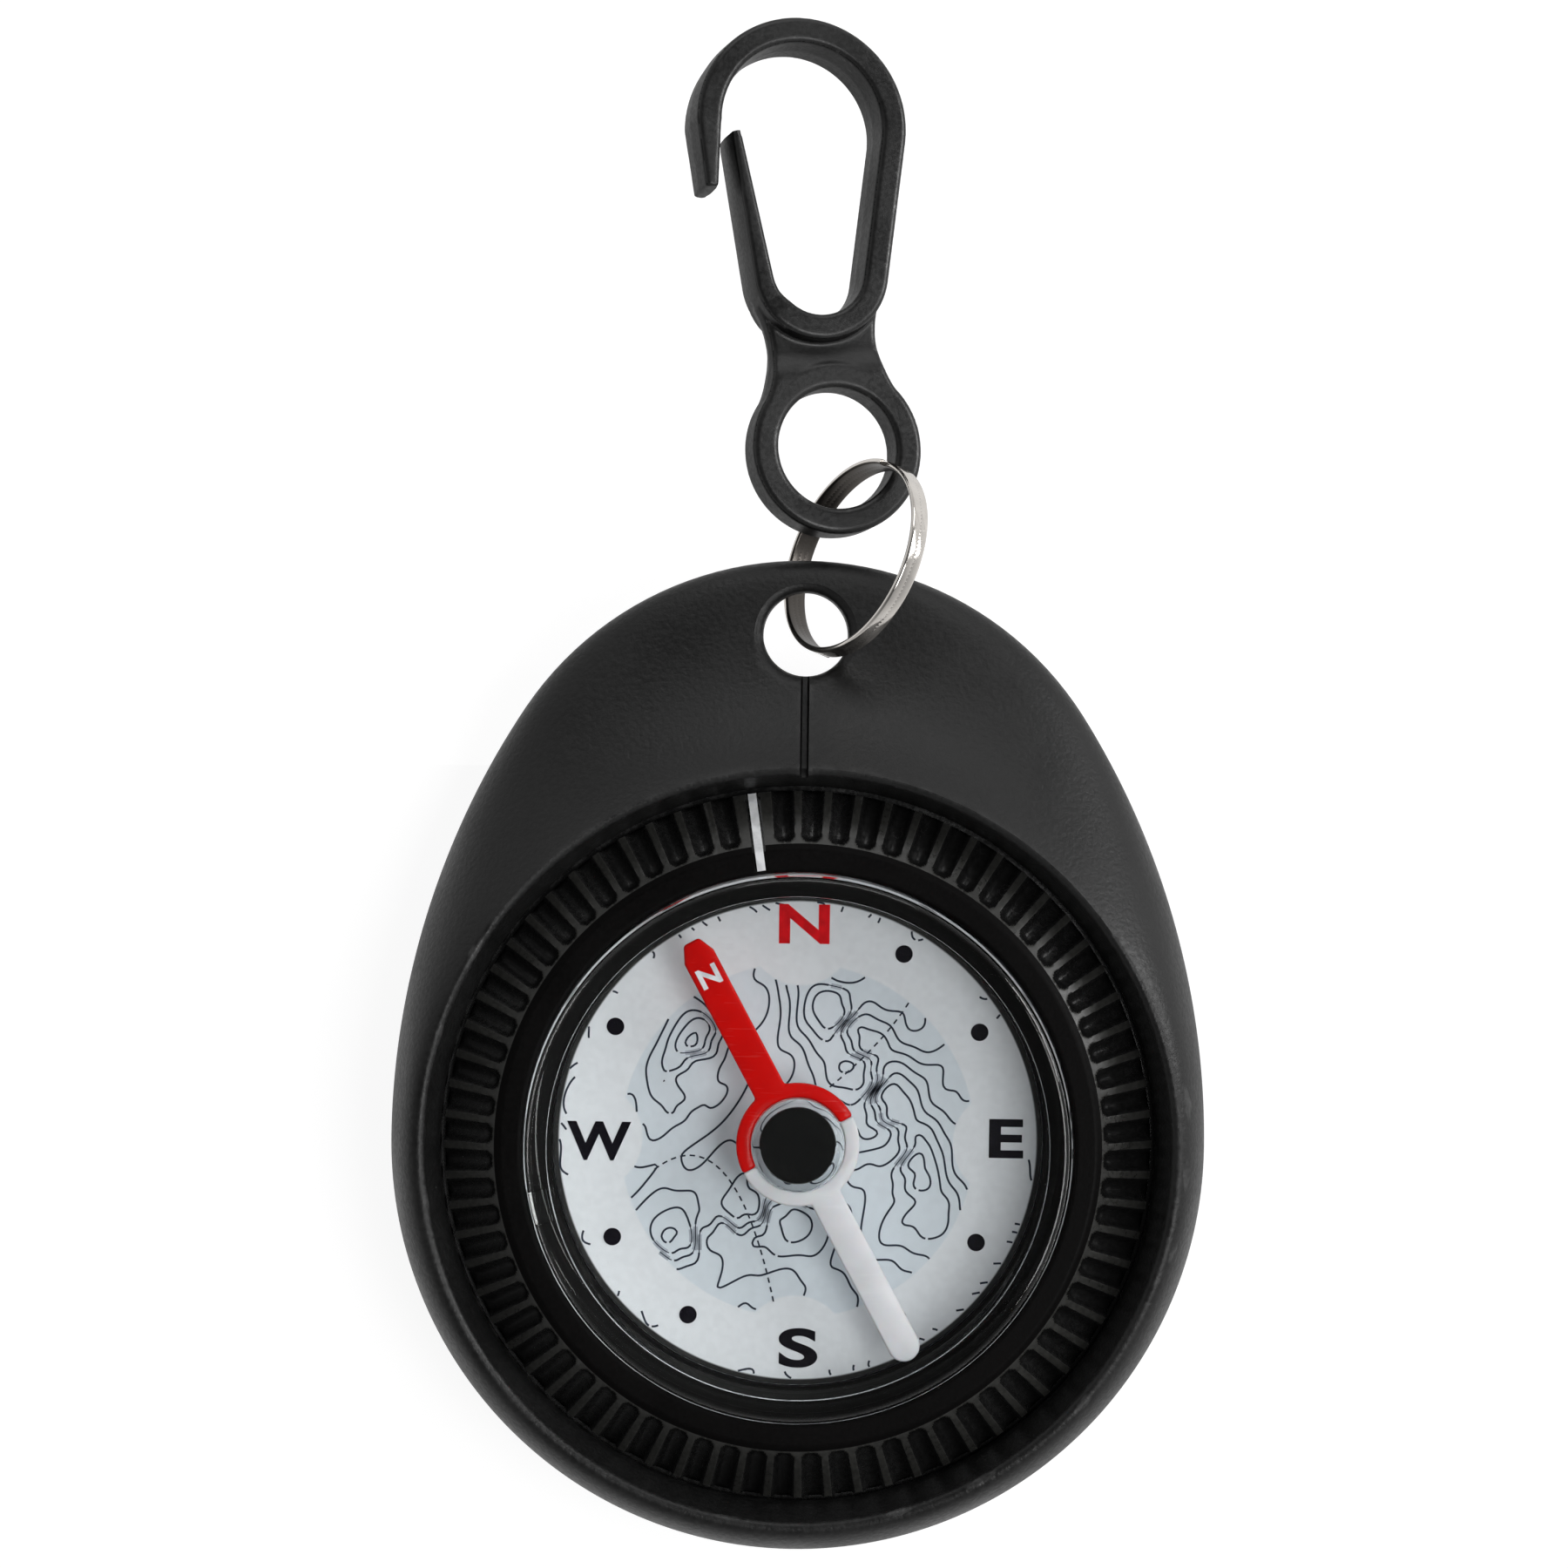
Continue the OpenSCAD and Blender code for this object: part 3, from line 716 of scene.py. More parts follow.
def glossy_plastic(name, base, gloss, milk):
    """Smooth coloured plastic, a little milky inside, with faint scratches."""
    tree, shader = new_material(
        name, IOR=1.49, Subsurface_Weight=milk, Subsurface_Scale=MILK_DEPTH, Specular_IOR_Level=0.3
    )
    cloud = cloudy(tree, object_coords(tree), grains=500, low=0.93, high=1.05)
    tone = toned(tree, base, cloud)
    feed(shader, Base_Color=tone, Roughness=hairlines(tree, 420.0, low=gloss, high=gloss + 0.2))


def plated_metal(name, base, gloss):
    """Bright metal with hairlines and a faint waviness."""
    tree, shader = new_material(name, Metallic=1.0)
    coords = object_coords(tree)
    tone = toned(tree, base, cloudy(tree, coords, grains=700, low=0.9, high=1.05))
    feed(shader, Base_Color=tone, Roughness=hairlines(tree, 500.0, low=gloss, high=gloss + 0.15))
    bump(tree, shader, noise(tree, coords, scale=450), strength=0.25, distance=PLATING_WAVE)


def make_materials(context):
    """Every finish of the object, by name."""
    colours = context.scene.compass_colours
    for make_group in (moulded_grain, edge_wear, fine_scratches):
        make_group()
    # Grains per metre, roughness, height of the grain in millimetres, wear of the edges and sheen
    for name, base, grains, gloss, height, wear, sheen in (
        ("case_satin", colours.case, 3800.0, 0.44, 0.07, 0.35, 0.5),
        ("bezel_flutes", colours.case, 4200.0, 0.24, 0.012, 0.0, 1.0),
        # Rib tops in a lighter black than the flutes: painted highlight, with edge wear on top
        ("bezel_ribs", colours.bezel, 4200.0, 0.34, 0.012, 0.3, 0.6),
        ("bezel_band", colours.seal, 4200.0, 0.5, 0.02, 0.0, 0.08),
        ("hook_satin", colours.hook, 4600.0, 0.36, 0.014, 0.5, 0.6),
        # A copy of the hook's satin with less sheen for its steep walls: painted shade
        ("hook_walls", colours.hook, 4600.0, 0.4, 0.014, 0.3, 0.12),
        ("seal_rubber", colours.seal, 3600.0, 0.6, 0.01, 0.0, 0.1),
        ("magnet_ferrite", colours.seal, 3000.0, 0.5, 0.01, 0.0, 0.1),
    ):
        black_moulding(name, base, grains, gloss, height * MM, wear, sheen)
    for name, ior in (("lens_outside", 1.49), ("lens_inside", 1.12), ("hub_acrylic", 1.3)):
        clear_acrylic(name, ior)
    printed_card("dial_print", colours, context.scene.compass_capsule)
    for name, base in (
        ("ink_dark", colours.ink),
        ("ink_line", colours.line),
        ("ink_wash", colours.wash),
        ("ink_red", colours.red),
        ("ink_white", colours.needle_white),
        ("index_paint", colours.index),
    ):
        printed_ink(name, base)
    glossy_plastic("needle_red_plastic", colours.needle_red, gloss=0.2, milk=0.25)
    glossy_plastic("needle_white_plastic", colours.needle_white, gloss=0.22, milk=0.2)
    glossy_plastic("base_white_plastic", colours.card, gloss=0.4, milk=0.0)
    plated_metal("bright_plating", colours.nickel, gloss=0.12)
    # A darker copy of the ring's plating for its inner faces: painted shade
    plated_metal("dull_plating", colours.ring_painted_shade, gloss=0.3)
    plated_metal("pin_steel", colours.nickel, gloss=0.25)
    plated_metal("turned_brass", BRASS, gloss=0.3)


def finish_of(name):
    """A finish by its name."""
    return bpy.data.materials[name]


def dress(node, material):
    """Gives a node of the frame its finish."""
    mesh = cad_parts[node].data
    mesh.materials.clear()
    mesh.materials.append(finish_of(material))


def settle(piece, body, slot, *nodes):
    """Puts a finished piece on its body, in place of the frame's own nodes."""
    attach(piece, body)
    if nodes:
        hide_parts(*nodes)


# The case

CASE_STEPS = 240
SKIN_STEPS = 26
RIM_STEPS = 6
BASE_STEPS = 4
CASE_CREASE = 38
# How the skin rises from the parting line and falls towards the nose, as in the frame's own solids
ROUND_RISE = 0.55
NOSE_RISE = 2.4 * MM
NOSE_DROP = 5.5 * MM
ROUND_SINK = 2.0 * MM
NOSE_SINK = 1.2 * MM
NOSE_LIFT = 1.7 * MM
BASE_INSET = 3.0 * MM
BASE_NOSE = 19.5 * MM
RIM_ROUND = 0.4 * MM
RIM_DROP = 0.35 * MM
HALVINGS = 30
# The hole's flare stops a little short of level, so that it crosses the skin cleanly
HOLE_STEPS = 96
FLARE_STEPS = 8
FLARE_TURN = math.radians(76)
FLARE_OUT = 0.15 * MM
FLARE_UP = 0.12 * MM
CUTTER_REACH = 1.2 * MM
# The groove's ends inside the rim and past the hole's edge, and its bottom as shares of width and depth
GROOVE_STEPS = 40
GROOVE_START = 0.9 * MM
GROOVE_END = 0.3 * MM
GROOVE_TOP = 1.0 * MM
GROOVE_BOTTOM = ((0.9, 0.7), (0.5, 1), (-0.5, 1), (-0.9, 0.7))


class EggSkin:
    """The case's skin: a round end, two side arcs and a nose arc, each tangent to the next."""

    def __init__(self, case):
        self.case = case
        self.r = case.width / 2
        self.nose_c = case.nose_reach - case.nose_r
        step = self.r - case.nose_r
        self.side_d = (self.nose_c**2 - step**2) / (2 * step)
        self.side_r = self.r + self.side_d
        share = case.nose_r / (self.side_r - case.nose_r)
        self.tangent = math.atan2(self.nose_c * (1 + share), self.side_d * share)

    def outline(self, a):
        """Distance of the outline from the dial's axis."""
        up, across = math.sin(a), abs(math.cos(a))
        if up <= 0:
            return self.r
        if math.atan2(up, across) < self.tangent:
            ahead, off, r = -self.side_d * across, self.side_d, self.side_r
        else:
            ahead, off, r = self.nose_c * up, self.nose_c, self.case.nose_r
        return ahead + math.sqrt(ahead * ahead - off * off + r * r)

    def share(self, a):
        """How far an angle belongs to the nose: 0 round the lower half, 1 at the tip."""
        return (self.outline(a) - self.r) / (self.case.nose_reach - self.r)

    def top(self, a, t):
        """A point of the upper skin, from the parting line to the rim."""
        case, w, out = self.case, self.share(a), self.outline(a)
        rise = mix(ROUND_RISE * (case.rim_z - case.part_z), NOSE_RISE, w)
        return bezier(
            [
                (out, case.part_z),
                (out, case.part_z + rise),
                ((out + case.rim_r) / 2, case.rim_z - NOSE_DROP * w),
                (case.rim_r, case.rim_z),
            ],
            t,
        )

    def back(self, a, t):
        """A point of the lower skin, from the parting line to the flat back."""
        case, w, out = self.case, self.share(a), self.outline(a)
        flat = mix(self.r - BASE_INSET, BASE_NOSE, w)
        return bezier(
            [
                (out, case.part_z),
                (out, case.part_z - mix(ROUND_SINK, NOSE_SINK, w)),
                ((out + flat) / 2, NOSE_LIFT * w),
                (flat, 0),
            ],
            t,
        )

    def height(self, x, y, skin):
        """Height of the upper or lower skin above a point, found by halving."""
        a, reach = math.atan2(y, x), math.hypot(x, y)
        low, high = 0.0, 1.0
        for _ in range(HALVINGS):
            half = (low + high) / 2
            if skin(a, half)[0] > reach:
                low = half
            else:
                high = half
        return skin(a, low)[1]


def shell_section(skin, case):
    """The upper half's section: skin, rounded rim, crater, throat, lip and bore."""

    def at(a):
        out = skin.outline(a)
        wall_r, wall_z = case.rim_r - RIM_ROUND, case.rim_z - RIM_DROP
        rows = [(out - case.seam, case.part_z), (out, case.part_z + case.seam)]
        rows += [skin.top(a, k / SKIN_STEPS) for k in range(1, SKIN_STEPS + 1)]
        for k in range(1, RIM_STEPS + 1):
            u = QUARTER * k / RIM_STEPS
            rows.append((case.rim_r - RIM_ROUND * math.sin(u), case.rim_z - RIM_DROP * (1 - math.cos(u))))
        for k in range(1, RIM_STEPS + 1):
            u = k / RIM_STEPS
            rows.append((mix(wall_r, case.throat_r, u), mix(wall_z, case.throat_z, u)))
        rows += [(case.throat_r, case.lip_z), (case.bore_r, case.lip_z), (case.bore_r, case.part_z)]
        return rows

    return at


def back_section(skin, case):
    """The lower half's section, from the middle of the floor round to the middle of the back."""

    def at(a):
        out = skin.outline(a)
        rows = [(0, case.floor_z), (case.bore_r, case.floor_z), (case.bore_r, case.part_z)]
        rows += [(out - case.seam, case.part_z), (out, case.part_z - case.seam)]
        rows += [skin.back(a, k / SKIN_STEPS) for k in range(1, SKIN_STEPS + 1)]
        rows += [(mix(skin.back(a, 1)[0], 0, k / BASE_STEPS), 0) for k in range(1, BASE_STEPS + 1)]
        return rows

    return at


def hole_cutter(skin, case):
    """The lanyard hole, flared at both ends so that its edges come out rounded."""
    centre, round_r = case.hole_at, case.hole_round
    columns = []
    for i in range(HOLE_STEPS):
        # Half a step on, so that no point falls on an edge of the skin
        a = math.tau * (i + 0.5) / HOLE_STEPS
        c, s = math.cos(a), math.sin(a)
        column = []
        for side, surface in ((-1, skin.back), (1, skin.top)):
            flare = []
            for k in range(FLARE_STEPS + 1):
                u = FLARE_TURN * k / FLARE_STEPS
                r = case.hole_r + round_r * (1 - math.cos(u))
                x, y = centre[0] + r * c, centre[1] + r * s
                flare.append((x, y, skin.height(x, y, surface) - side * round_r * (1 - math.sin(u))))
            x, y, z = flare[-1]
            x, y = x + FLARE_OUT * c, y + FLARE_OUT * s
            flare += [(x, y, z + side * FLARE_UP), (x, y, z + side * CUTTER_REACH)]
            column += flare if side > 0 else flare[::-1]
        columns.append(column)
    verts, faces = loft(columns, ring=False, wrap=True)
    n = len(column)
    faces += [tuple(range(0, len(verts), n)), tuple(range(n - 1, len(verts), n))]
    return close_up(new_piece("hole_cutter", verts, faces))


def groove_cutter(skin, case):
    """The sighting groove, from the rim down the slope to the lanyard hole, with a round bottom."""
    x, half = case.hole_at[0], case.groove_w / 2
    start, end = case.rim_r - GROOVE_START, case.hole_at[1] - case.hole_r + GROOVE_END
    profile = [(half * across, -case.groove_d * depth) for across, depth in GROOVE_BOTTOM]
    profile = [(half, GROOVE_TOP), *profile, (-half, GROOVE_TOP)]
    sections = []
    for i in range(GROOVE_STEPS + 1):
        y = mix(start, end, i / GROOVE_STEPS)
        z = skin.height(x, max(y, case.rim_r), skin.top)
        sections.append([(x + across, y, z + up) for across, up in profile])
    return close_up(new_piece("groove_cutter", *capped(sections)))


class COMPASS_OT_case(Operator):
    """Builds the two halves of the egg-shaped case"""

    bl_idname = "compass.case"
    bl_label = "Case"

    def execute(self, context):
        case = context.scene.compass_case
        skin = EggSkin(case)
        satin = finish_of("case_satin")
        shell = revolved("case_upper", shell_section(skin, case), CASE_STEPS, True, satin)
        close_up(cut(shell, hole_cutter(skin, case), groove_cutter(skin, case)))
        settle(shade(shell, CASE_CREASE), "case", "case_black", "case_shell")
        back = revolved("case_back", back_section(skin, case), CASE_STEPS, False, satin)
        close_up(cut(back, hole_cutter(skin, case)))
        settle(shade(back, CASE_CREASE), "case", "case_black", "back_cover")
        return {"FINISHED"}


# The bezel

SECTOR_COLUMNS = 16
BAND_ROWS = 5
SLOPE_ROWS = 30
UPWARDS = (0, 1)
BEZEL_EDGE = 0.12 * MM
BEZEL_CREASE = 50
SKIRT_BREAK = 0.6
SECTOR_GAP = 0.002 * MM
# Channel of the index line: its depth, and its slack beside the line and before its start
INDEX_CHANNEL = 0.12 * MM
INDEX_SLACK = 0.08 * MM
INDEX_LEAD = 0.1 * MM
# How far below the slope a face of the band or of a rib's top may lie, and where the band ends
BAND_SUNK = 0.02 * MM
RIB_SUNK = 0.012 * MM
BAND_SHARE = 0.7


def bezel_rows(bezel):
    """The bezel's section, as (place, distance down its face or None, direction of a cut's depth)."""
    run = Vector((bezel.skirt_r - bezel.band_r, bezel.skirt_z - bezel.band_z))
    across = Vector((-run.y, run.x)).normalized()
    band_in, band_out = bezel.bore_r + BEZEL_EDGE, bezel.band_r - BEZEL_EDGE
    rows = [((bezel.bore_r, bezel.band_z - BEZEL_EDGE), None, UPWARDS)]
    rows.append(((band_in, bezel.band_z), None, UPWARDS))
    for k in range(1, BAND_ROWS + 1):
        r = mix(band_in, band_out, k / BAND_ROWS)
        rows.append(((r, bezel.band_z), r - bezel.band_r, UPWARDS))
    for k in range(SLOPE_ROWS + 1):
        u = k / SLOPE_ROWS
        spot = (mix(bezel.band_r, bezel.skirt_r, u), mix(bezel.band_z, bezel.skirt_z, u))
        rows.append((spot, run.length * u, across))
    top = bezel.foot_z + bezel.foot_t
    for spot in (
        (bezel.skirt_r, mix(bezel.skirt_z, top, SKIRT_BREAK)),
        (bezel.skirt_r, top),
        (bezel.foot_r, top),
        (bezel.foot_r, bezel.foot_z),
        (bezel.bore_r, bezel.foot_z),
    ):
        rows.append((spot, None, UPWARDS))
    return rows


def bezel_sector(name, bezel, depth_at):
    """One pitch of the bezel, open at both sides, cut by a depth that depends on the place on its face."""
    rows = bezel_rows(bezel)
    half = math.pi / bezel.count
    sections = []
    for i in range(SECTOR_COLUMNS + 1):
        a = mix(-half, half, i / SECTOR_COLUMNS)
        section = []
        for (r, z), along, (out, up) in rows:
            depth = 0 if along is None else depth_at(r * a, along)
            reach = r - out * depth
            section.append((reach * math.cos(a), reach * math.sin(a), z - up * depth))
        sections.append(section)
    return new_piece(name, *loft(sections))


def flute_depth(bezel):
    """A flute with a round inner end that runs out at the skirt's edge."""
    core = bezel.flute_in + bezel.flute_w

    def depth(across, along):
        away = math.hypot(across, max(0, core - along)) / bezel.flute_w
        return bezel.flute_d * max(0, 1 - away * away)

    return depth


def index_depth(bezel):
    """A shallow channel, a little wider than the index line that lies in it."""
    half, start = bezel.index_w / 2 + INDEX_SLACK, bezel.index_in - bezel.band_r - INDEX_LEAD

    def depth(across, along):
        return INDEX_CHANNEL if abs(across) < half and along > start else 0

    return depth


def ring_of_sectors():
    """Turns one plain and many fluted pitches into a whole ring."""
    tree, given, out = geometry_tree(
        "Ring of sectors",
        {"Fluted": "Object", "Plain": "Object", "Count": "Int", "Start Angle": "Float", "Merge Gap": "Float"},
    )
    spots = add_node(tree, "GeometryNodeMeshLine", {"Count": given["Count"], "Offset": (0, 0, 0)}).outputs[0]
    index = add_node(tree, "GeometryNodeInputIndex").outputs[0]
    pitch = math_node(tree, "DIVIDE", math.tau, given["Count"])
    turn = math_node(tree, "MULTIPLY_ADD", index, pitch, given["Start Angle"])
    euler = add_node(tree, "ShaderNodeCombineXYZ", {"Z": turn}).outputs[0]
    rotation = add_node(tree, "FunctionNodeEulerToRotation", {0: euler}).outputs[0]
    parts = add_node(tree, "GeometryNodeJoinGeometry")
    for source, test in (("Plain", "LESS_THAN"), ("Fluted", "GREATER_THAN")):
        shape = add_node(tree, "GeometryNodeObjectInfo", {"Object": given[source]}).outputs["Geometry"]
        chosen = math_node(tree, test, index, 0.5)
        feed(parts, Geometry=scatter(tree, spots, shape, Selection=chosen, Rotation=rotation))
    inputs = {"Geometry": realize(tree, parts.outputs[0]), "Distance": given["Merge Gap"]}
    return painted(tree, given, out, add_node(tree, "GeometryNodeMergeByDistance", inputs).outputs[0])


class COMPASS_OT_bezel(Operator):
    """Builds the ribbed bezel and paints its index line"""

    bl_idname = "compass.bezel"
    bl_label = "Bezel"

    def execute(self, context):
        bezel = context.scene.compass_bezel
        fluted = bezel_sector("fluted_sector", bezel, flute_depth(bezel))
        plain = bezel_sector("plain_sector", bezel, index_depth(bezel))
        values = {
            "Fluted": fluted,
            "Plain": plain,
            "Count": bezel.count,
            "Start Angle": QUARTER + bezel.index_a,
            "Merge Gap": SECTOR_GAP,
            "Material": finish_of("bezel_flutes"),
        }
        ring = run_nodes("bezel_fluted", ring_of_sectors(), values)
        discard(fluted, plain)
        self.tell_ribs_apart(close_up(ring), bezel)
        settle(shade(ring, BEZEL_CREASE), "bezel", "bezel_black", "bezel_ring")
        dress("bezel_index", "index_paint")
        return {"FINISHED"}

    def tell_ribs_apart(self, ring, bezel):
        """Gives the flat band and the tops of the ribs finishes of their own; the rib tops are painted
        lighter, as painted highlight.
        """
        for name in ("bezel_band", "bezel_ribs"):
            ring.data.materials.append(finish_of(name))
        run = Vector((bezel.skirt_r - bezel.band_r, bezel.skirt_z - bezel.band_z)).normalized()
        for face in ring.data.polygons:
            spot = Vector((face.center.xy.length - bezel.band_r, face.center.z - bezel.band_z))
            along, sunk = spot.dot(run), abs(spot.x * run.y - spot.y * run.x)
            if spot.x < 0 or (sunk < BAND_SUNK and along < bezel.flute_in * BAND_SHARE):
                face.material_index = 1
            # Rib tops take the lighter black, a painted highlight
            elif sunk < RIB_SUNK and spot.y > bezel.skirt_z - bezel.band_z:
                face.material_index = 2


# The capsule and its dial

LENS_STEPS = 192
LENS_BREAK = 2 * MM
LENS_TOP_ROWS = (0.6, 0.3, 0)
LENS_INNER_ROW = 0.4
ROUND_CREASE = 40
PRINT_CREASE = 30


def lens_section(capsule):
    """The lens's section: up the outside, over the top to the middle, and back down the inside."""
    inner_r, inner_top = capsule.radius - capsule.wall, capsule.top - capsule.wall
    inner_edge, low = capsule.inner_edge, capsule.bottom + capsule.seal_gap
    rows = [(capsule.radius, low), (capsule.radius, capsule.bottom + LENS_BREAK)]
    for across, up in arc((0, 0), 1, 0, QUARTER, steps=14):
        r = capsule.radius - capsule.edge_w * (1 - across)
        rows.append((r, capsule.top - capsule.edge_r * (1 - up)))
    rows += [(capsule.radius * share, capsule.top) for share in LENS_TOP_ROWS]
    rows += [(0, inner_top), (inner_r * LENS_INNER_ROW, inner_top)]
    rows += arc((inner_r - inner_edge, inner_top - inner_edge), inner_edge, QUARTER, 0, steps=8)
    return rows + [(inner_r, low)]


class COMPASS_OT_capsule(Operator):
    """Builds the clear lens and finishes the pieces sealed under it"""

    bl_idname = "compass.capsule"
    bl_label = "Capsule"

    def execute(self, context):
        capsule = context.scene.compass_capsule
        section = lens_section(capsule)
        finishes = [finish_of(name) for name in ("lens_outside", "lens_inside")]
        lens = revolved("lens", lambda a: section, LENS_STEPS, True, *finishes)
        self.cut_plug_pocket(lens, capsule.plug_slack)
        inner_r, inner_top = capsule.radius - capsule.wall + HAIR, capsule.top - capsule.wall + HAIR
        for face in lens.data.polygons:
            inside = face.center.xy.length < inner_r and face.center.z < inner_top
            face.material_index = 1 if inside else 0
        settle(shade(lens, ROUND_CREASE), "case", "clear_acrylic", "capsule_lens")
        dress("fill_plug", "lens_outside")
        dress("capsule_seal", "seal_rubber")
        dress("capsule_base", "base_white_plastic")
        dress("pivot_pin", "pin_steel")
        return {"FINISHED"}

    def cut_plug_pocket(self, lens, slack):
        """Takes the room of the fill plug, and a little slack, out of the lens."""
        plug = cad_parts["fill_plug"]
        pocket = link(bpy.data.objects.new("plug_pocket", plug.data.copy()))
        pocket.data.materials.clear()
        middle = sum((vert.co for vert in pocket.data.vertices), Vector()) / len(pocket.data.vertices)
        close_up(pocket)
        for vert in pocket.data.vertices:
            vert.co += (vert.co - middle).normalized() * slack
        cut(lens, pocket)


# Hills of the map, as (x, y, height, spread along, spread across, turn in degrees), in millimetres
MAP_HILLS = [
    (-5.0, 4.5, 0.8, 5.4, 3.0, 62),
    (5.6, -3.2, 0.9, 3.2, 5.2, 28),
    (3.6, 7.6, -0.6, 4.6, 2.6, -20),
    (-5.4, -6.4, 0.5, 4.2, 2.2, -12),
    (11.5, -6.0, 0.9, 2.6, 2.2, 0),
    (-11.5, 1.6, 0.8, 1.6, 3.4, 10),
    (-3.5, 12.0, 0.8, 3.6, 1.6, 0),
    (4.5, -11.8, 0.8, 3.2, 1.4, 15),
]
# Cliffs of the map, as (x, y, rise, length, turn in degrees), in millimetres
MAP_CLIFFS = [(4.2, 2.8, 0.5, 7.0, -66), (-3.6, -4.6, 0.5, 6.5, 22), (-5.6, 4.6, 0.4, 3.6, 66)]
# Small waves of the ground, as (height, pace along x, pace along y, phase)
MAP_WAVES = [(0.05, 1.3, 0.5, 0.0), (0.05, -0.8, 1.6, 1.0), (0.02, 3.1, -2.2, 0.0)]
# Waves along a cliff, as (height, pace)
CLIFF_WAVES = [(0.45, 1.5), (0.12, 4.7)]
CLIFF_W = 3
CLIFF_SOFT = 0.85
CLIFF_SLOPE = 0.55
SLOPE_STEP = 0.05
WASH_W = 0.26 * MM
# Heights of a bold line and of the wash for that of a fine line, so that no two lie in one plane
BOLD_SHARE = 0.9
WASH_SHARE = 0.5
FEWEST_POINTS = 4
MAP_STEP = 0.17
MAP_CELL = 0.14


def map_height(x, y):
    """Height of the printed country, for arrays of places in millimetres."""
    height = sum(tall * np.sin(east * x + north * y + phase) for tall, east, north, phase in MAP_WAVES)
    for hill_x, hill_y, rise, along, across, degrees in MAP_HILLS:
        u, v = turned(x - hill_x, y - hill_y, degrees)
        height = height + rise * np.exp(-((u / along) ** 2) - (v / across) ** 2)
    for cliff_x, cliff_y, rise, length, degrees in MAP_CLIFFS:
        u, v = turned(x - cliff_x, y - cliff_y, degrees)
        bend = v + sum(tall * np.sin(pace * u) for tall, pace in CLIFF_WAVES)
        fade = np.exp(-((u / length) ** 4) - (v / CLIFF_W) ** 2)
        height = height + rise * np.tanh(bend / CLIFF_SOFT) * fade
    return height


def turned(x, y, degrees):
    """Places seen along and across a direction."""
    c, s = math.cos(math.radians(degrees)), math.sin(math.radians(degrees))
    return x * c + y * s, y * c - x * s


def contour_steps(height, level):
    """Joins of neighbouring grid edges that a level crosses, each edge as (row, column, upright)."""
    above = height > level
    for i in range(above.shape[0] - 1):
        for j in range(above.shape[1] - 1):
            low, right = above[i, j], above[i, j + 1]
            up, far = above[i + 1, j], above[i + 1, j + 1]
            if low == right == up == far:
                continue
            crossed = []
            if low != right:
                crossed.append((i, j, 0))
            if right != far:
                crossed.append((i, j + 1, 1))
            if up != far:
                crossed.append((i + 1, j, 0))
            if low != up:
                crossed.append((i, j, 1))
            for k in range(0, len(crossed) - 1, 2):
                yield crossed[k], crossed[k + 1]


def contour_lines(height, axis, level):
    """Chains of points along one level of a height grid."""
    neighbours = {}
    for first, second in contour_steps(height, level):
        neighbours.setdefault(first, []).append(second)
        neighbours.setdefault(second, []).append(first)

    def spot(edge):
        i, j, upright = edge
        near, far = height[i, j], height[i + upright, j + 1 - upright]
        t = (level - near) / (far - near)
        return axis[j] + (1 - upright) * t * MAP_CELL, axis[i] + upright * t * MAP_CELL

    left = set(neighbours)
    ends = sorted(edge for edge in neighbours if len(neighbours[edge]) == 1)
    for start in ends + sorted(neighbours):
        if start not in left:
            continue
        chain, here = [], start
        while here is not None:
            left.discard(here)
            chain.append(spot(here))
            here = next((edge for edge in neighbours[here] if edge in left), None)
        yield chain


def on_map(x, y, capsule):
    """Whether the map is printed at a place: not in the white ring, nor behind a letter."""
    reach = math.hypot(x, y)
    if reach > capsule.map_r:
        return capsule.border_r < reach < capsule.print_r
    return all(math.dist((x, y), spot) > capsule.tab_r for spot in letter_spots(capsule))


def swept_sections(path, section_at):
    """Points and faces of a closed bar along a flat path, by its section at each share of the way."""
    last = len(path) - 1
    sections = []
    for k, (x, y) in enumerate(path):
        run = Vector(path[min(k + 1, last)]) - Vector(path[max(k - 1, 0)])
        side = Vector((-run.y, run.x)).normalized()
        section = section_at(k / last)
        sections.append([(x + side.x * across, y + side.y * across, up) for across, up in section])
    return capped(sections)


def ribbon(points, width, low, high):
    """Points and faces of a flat bar along a chain of points."""
    half = width / 2
    return swept_sections(points, lambda share: [(-half, low), (half, low), (half, high), (-half, high)])


def map_lines(capsule, line_ink, wash_ink):
    """Contour lines of the made-up country, as thin bars of ink, with a pale wash along its cliffs."""
    count = int(2 * capsule.dial_r / MM / MAP_CELL) + 2
    axis = (np.arange(count) - (count - 1) / 2) * MAP_CELL
    height = map_height(*np.meshgrid(axis, axis))
    low, face, ink = capsule.dial_z - capsule.ink_t, capsule.dial_z, capsule.ink_t
    lowest, highest = math.floor(height.min() / MAP_STEP), math.ceil(height.max() / MAP_STEP)
    lines, washes = ([], []), ([], [])
    for level in np.arange(lowest, highest) * MAP_STEP:
        for chain in contour_lines(height, axis, level + MAP_STEP / 3):
            places = [(x * MM, y * MM) for x, y in chain]
            for run in stretches(places, lambda x, y: on_map(x, y, capsule)):
                add_bar(lines, ribbon(run, capsule.line_w / 2, low, face + ink))
                steep = {(x, y): on_cliff(x / MM, y / MM) for x, y in run}
                for bold in stretches(run, lambda x, y: not steep[(x, y)]):
                    add_bar(lines, ribbon(bold, capsule.line_w, low, face + BOLD_SHARE * ink))
                for cliff in stretches(run, lambda x, y: steep[(x, y)]):
                    add_bar(washes, ribbon(cliff, WASH_W, low, face + WASH_SHARE * ink))
    return [
        close_up(new_piece(name, *bars, material), gap=1e-6 * MM)
        for name, bars, material in (("map_lines", lines, line_ink), ("map_wash", washes, wash_ink))
    ]


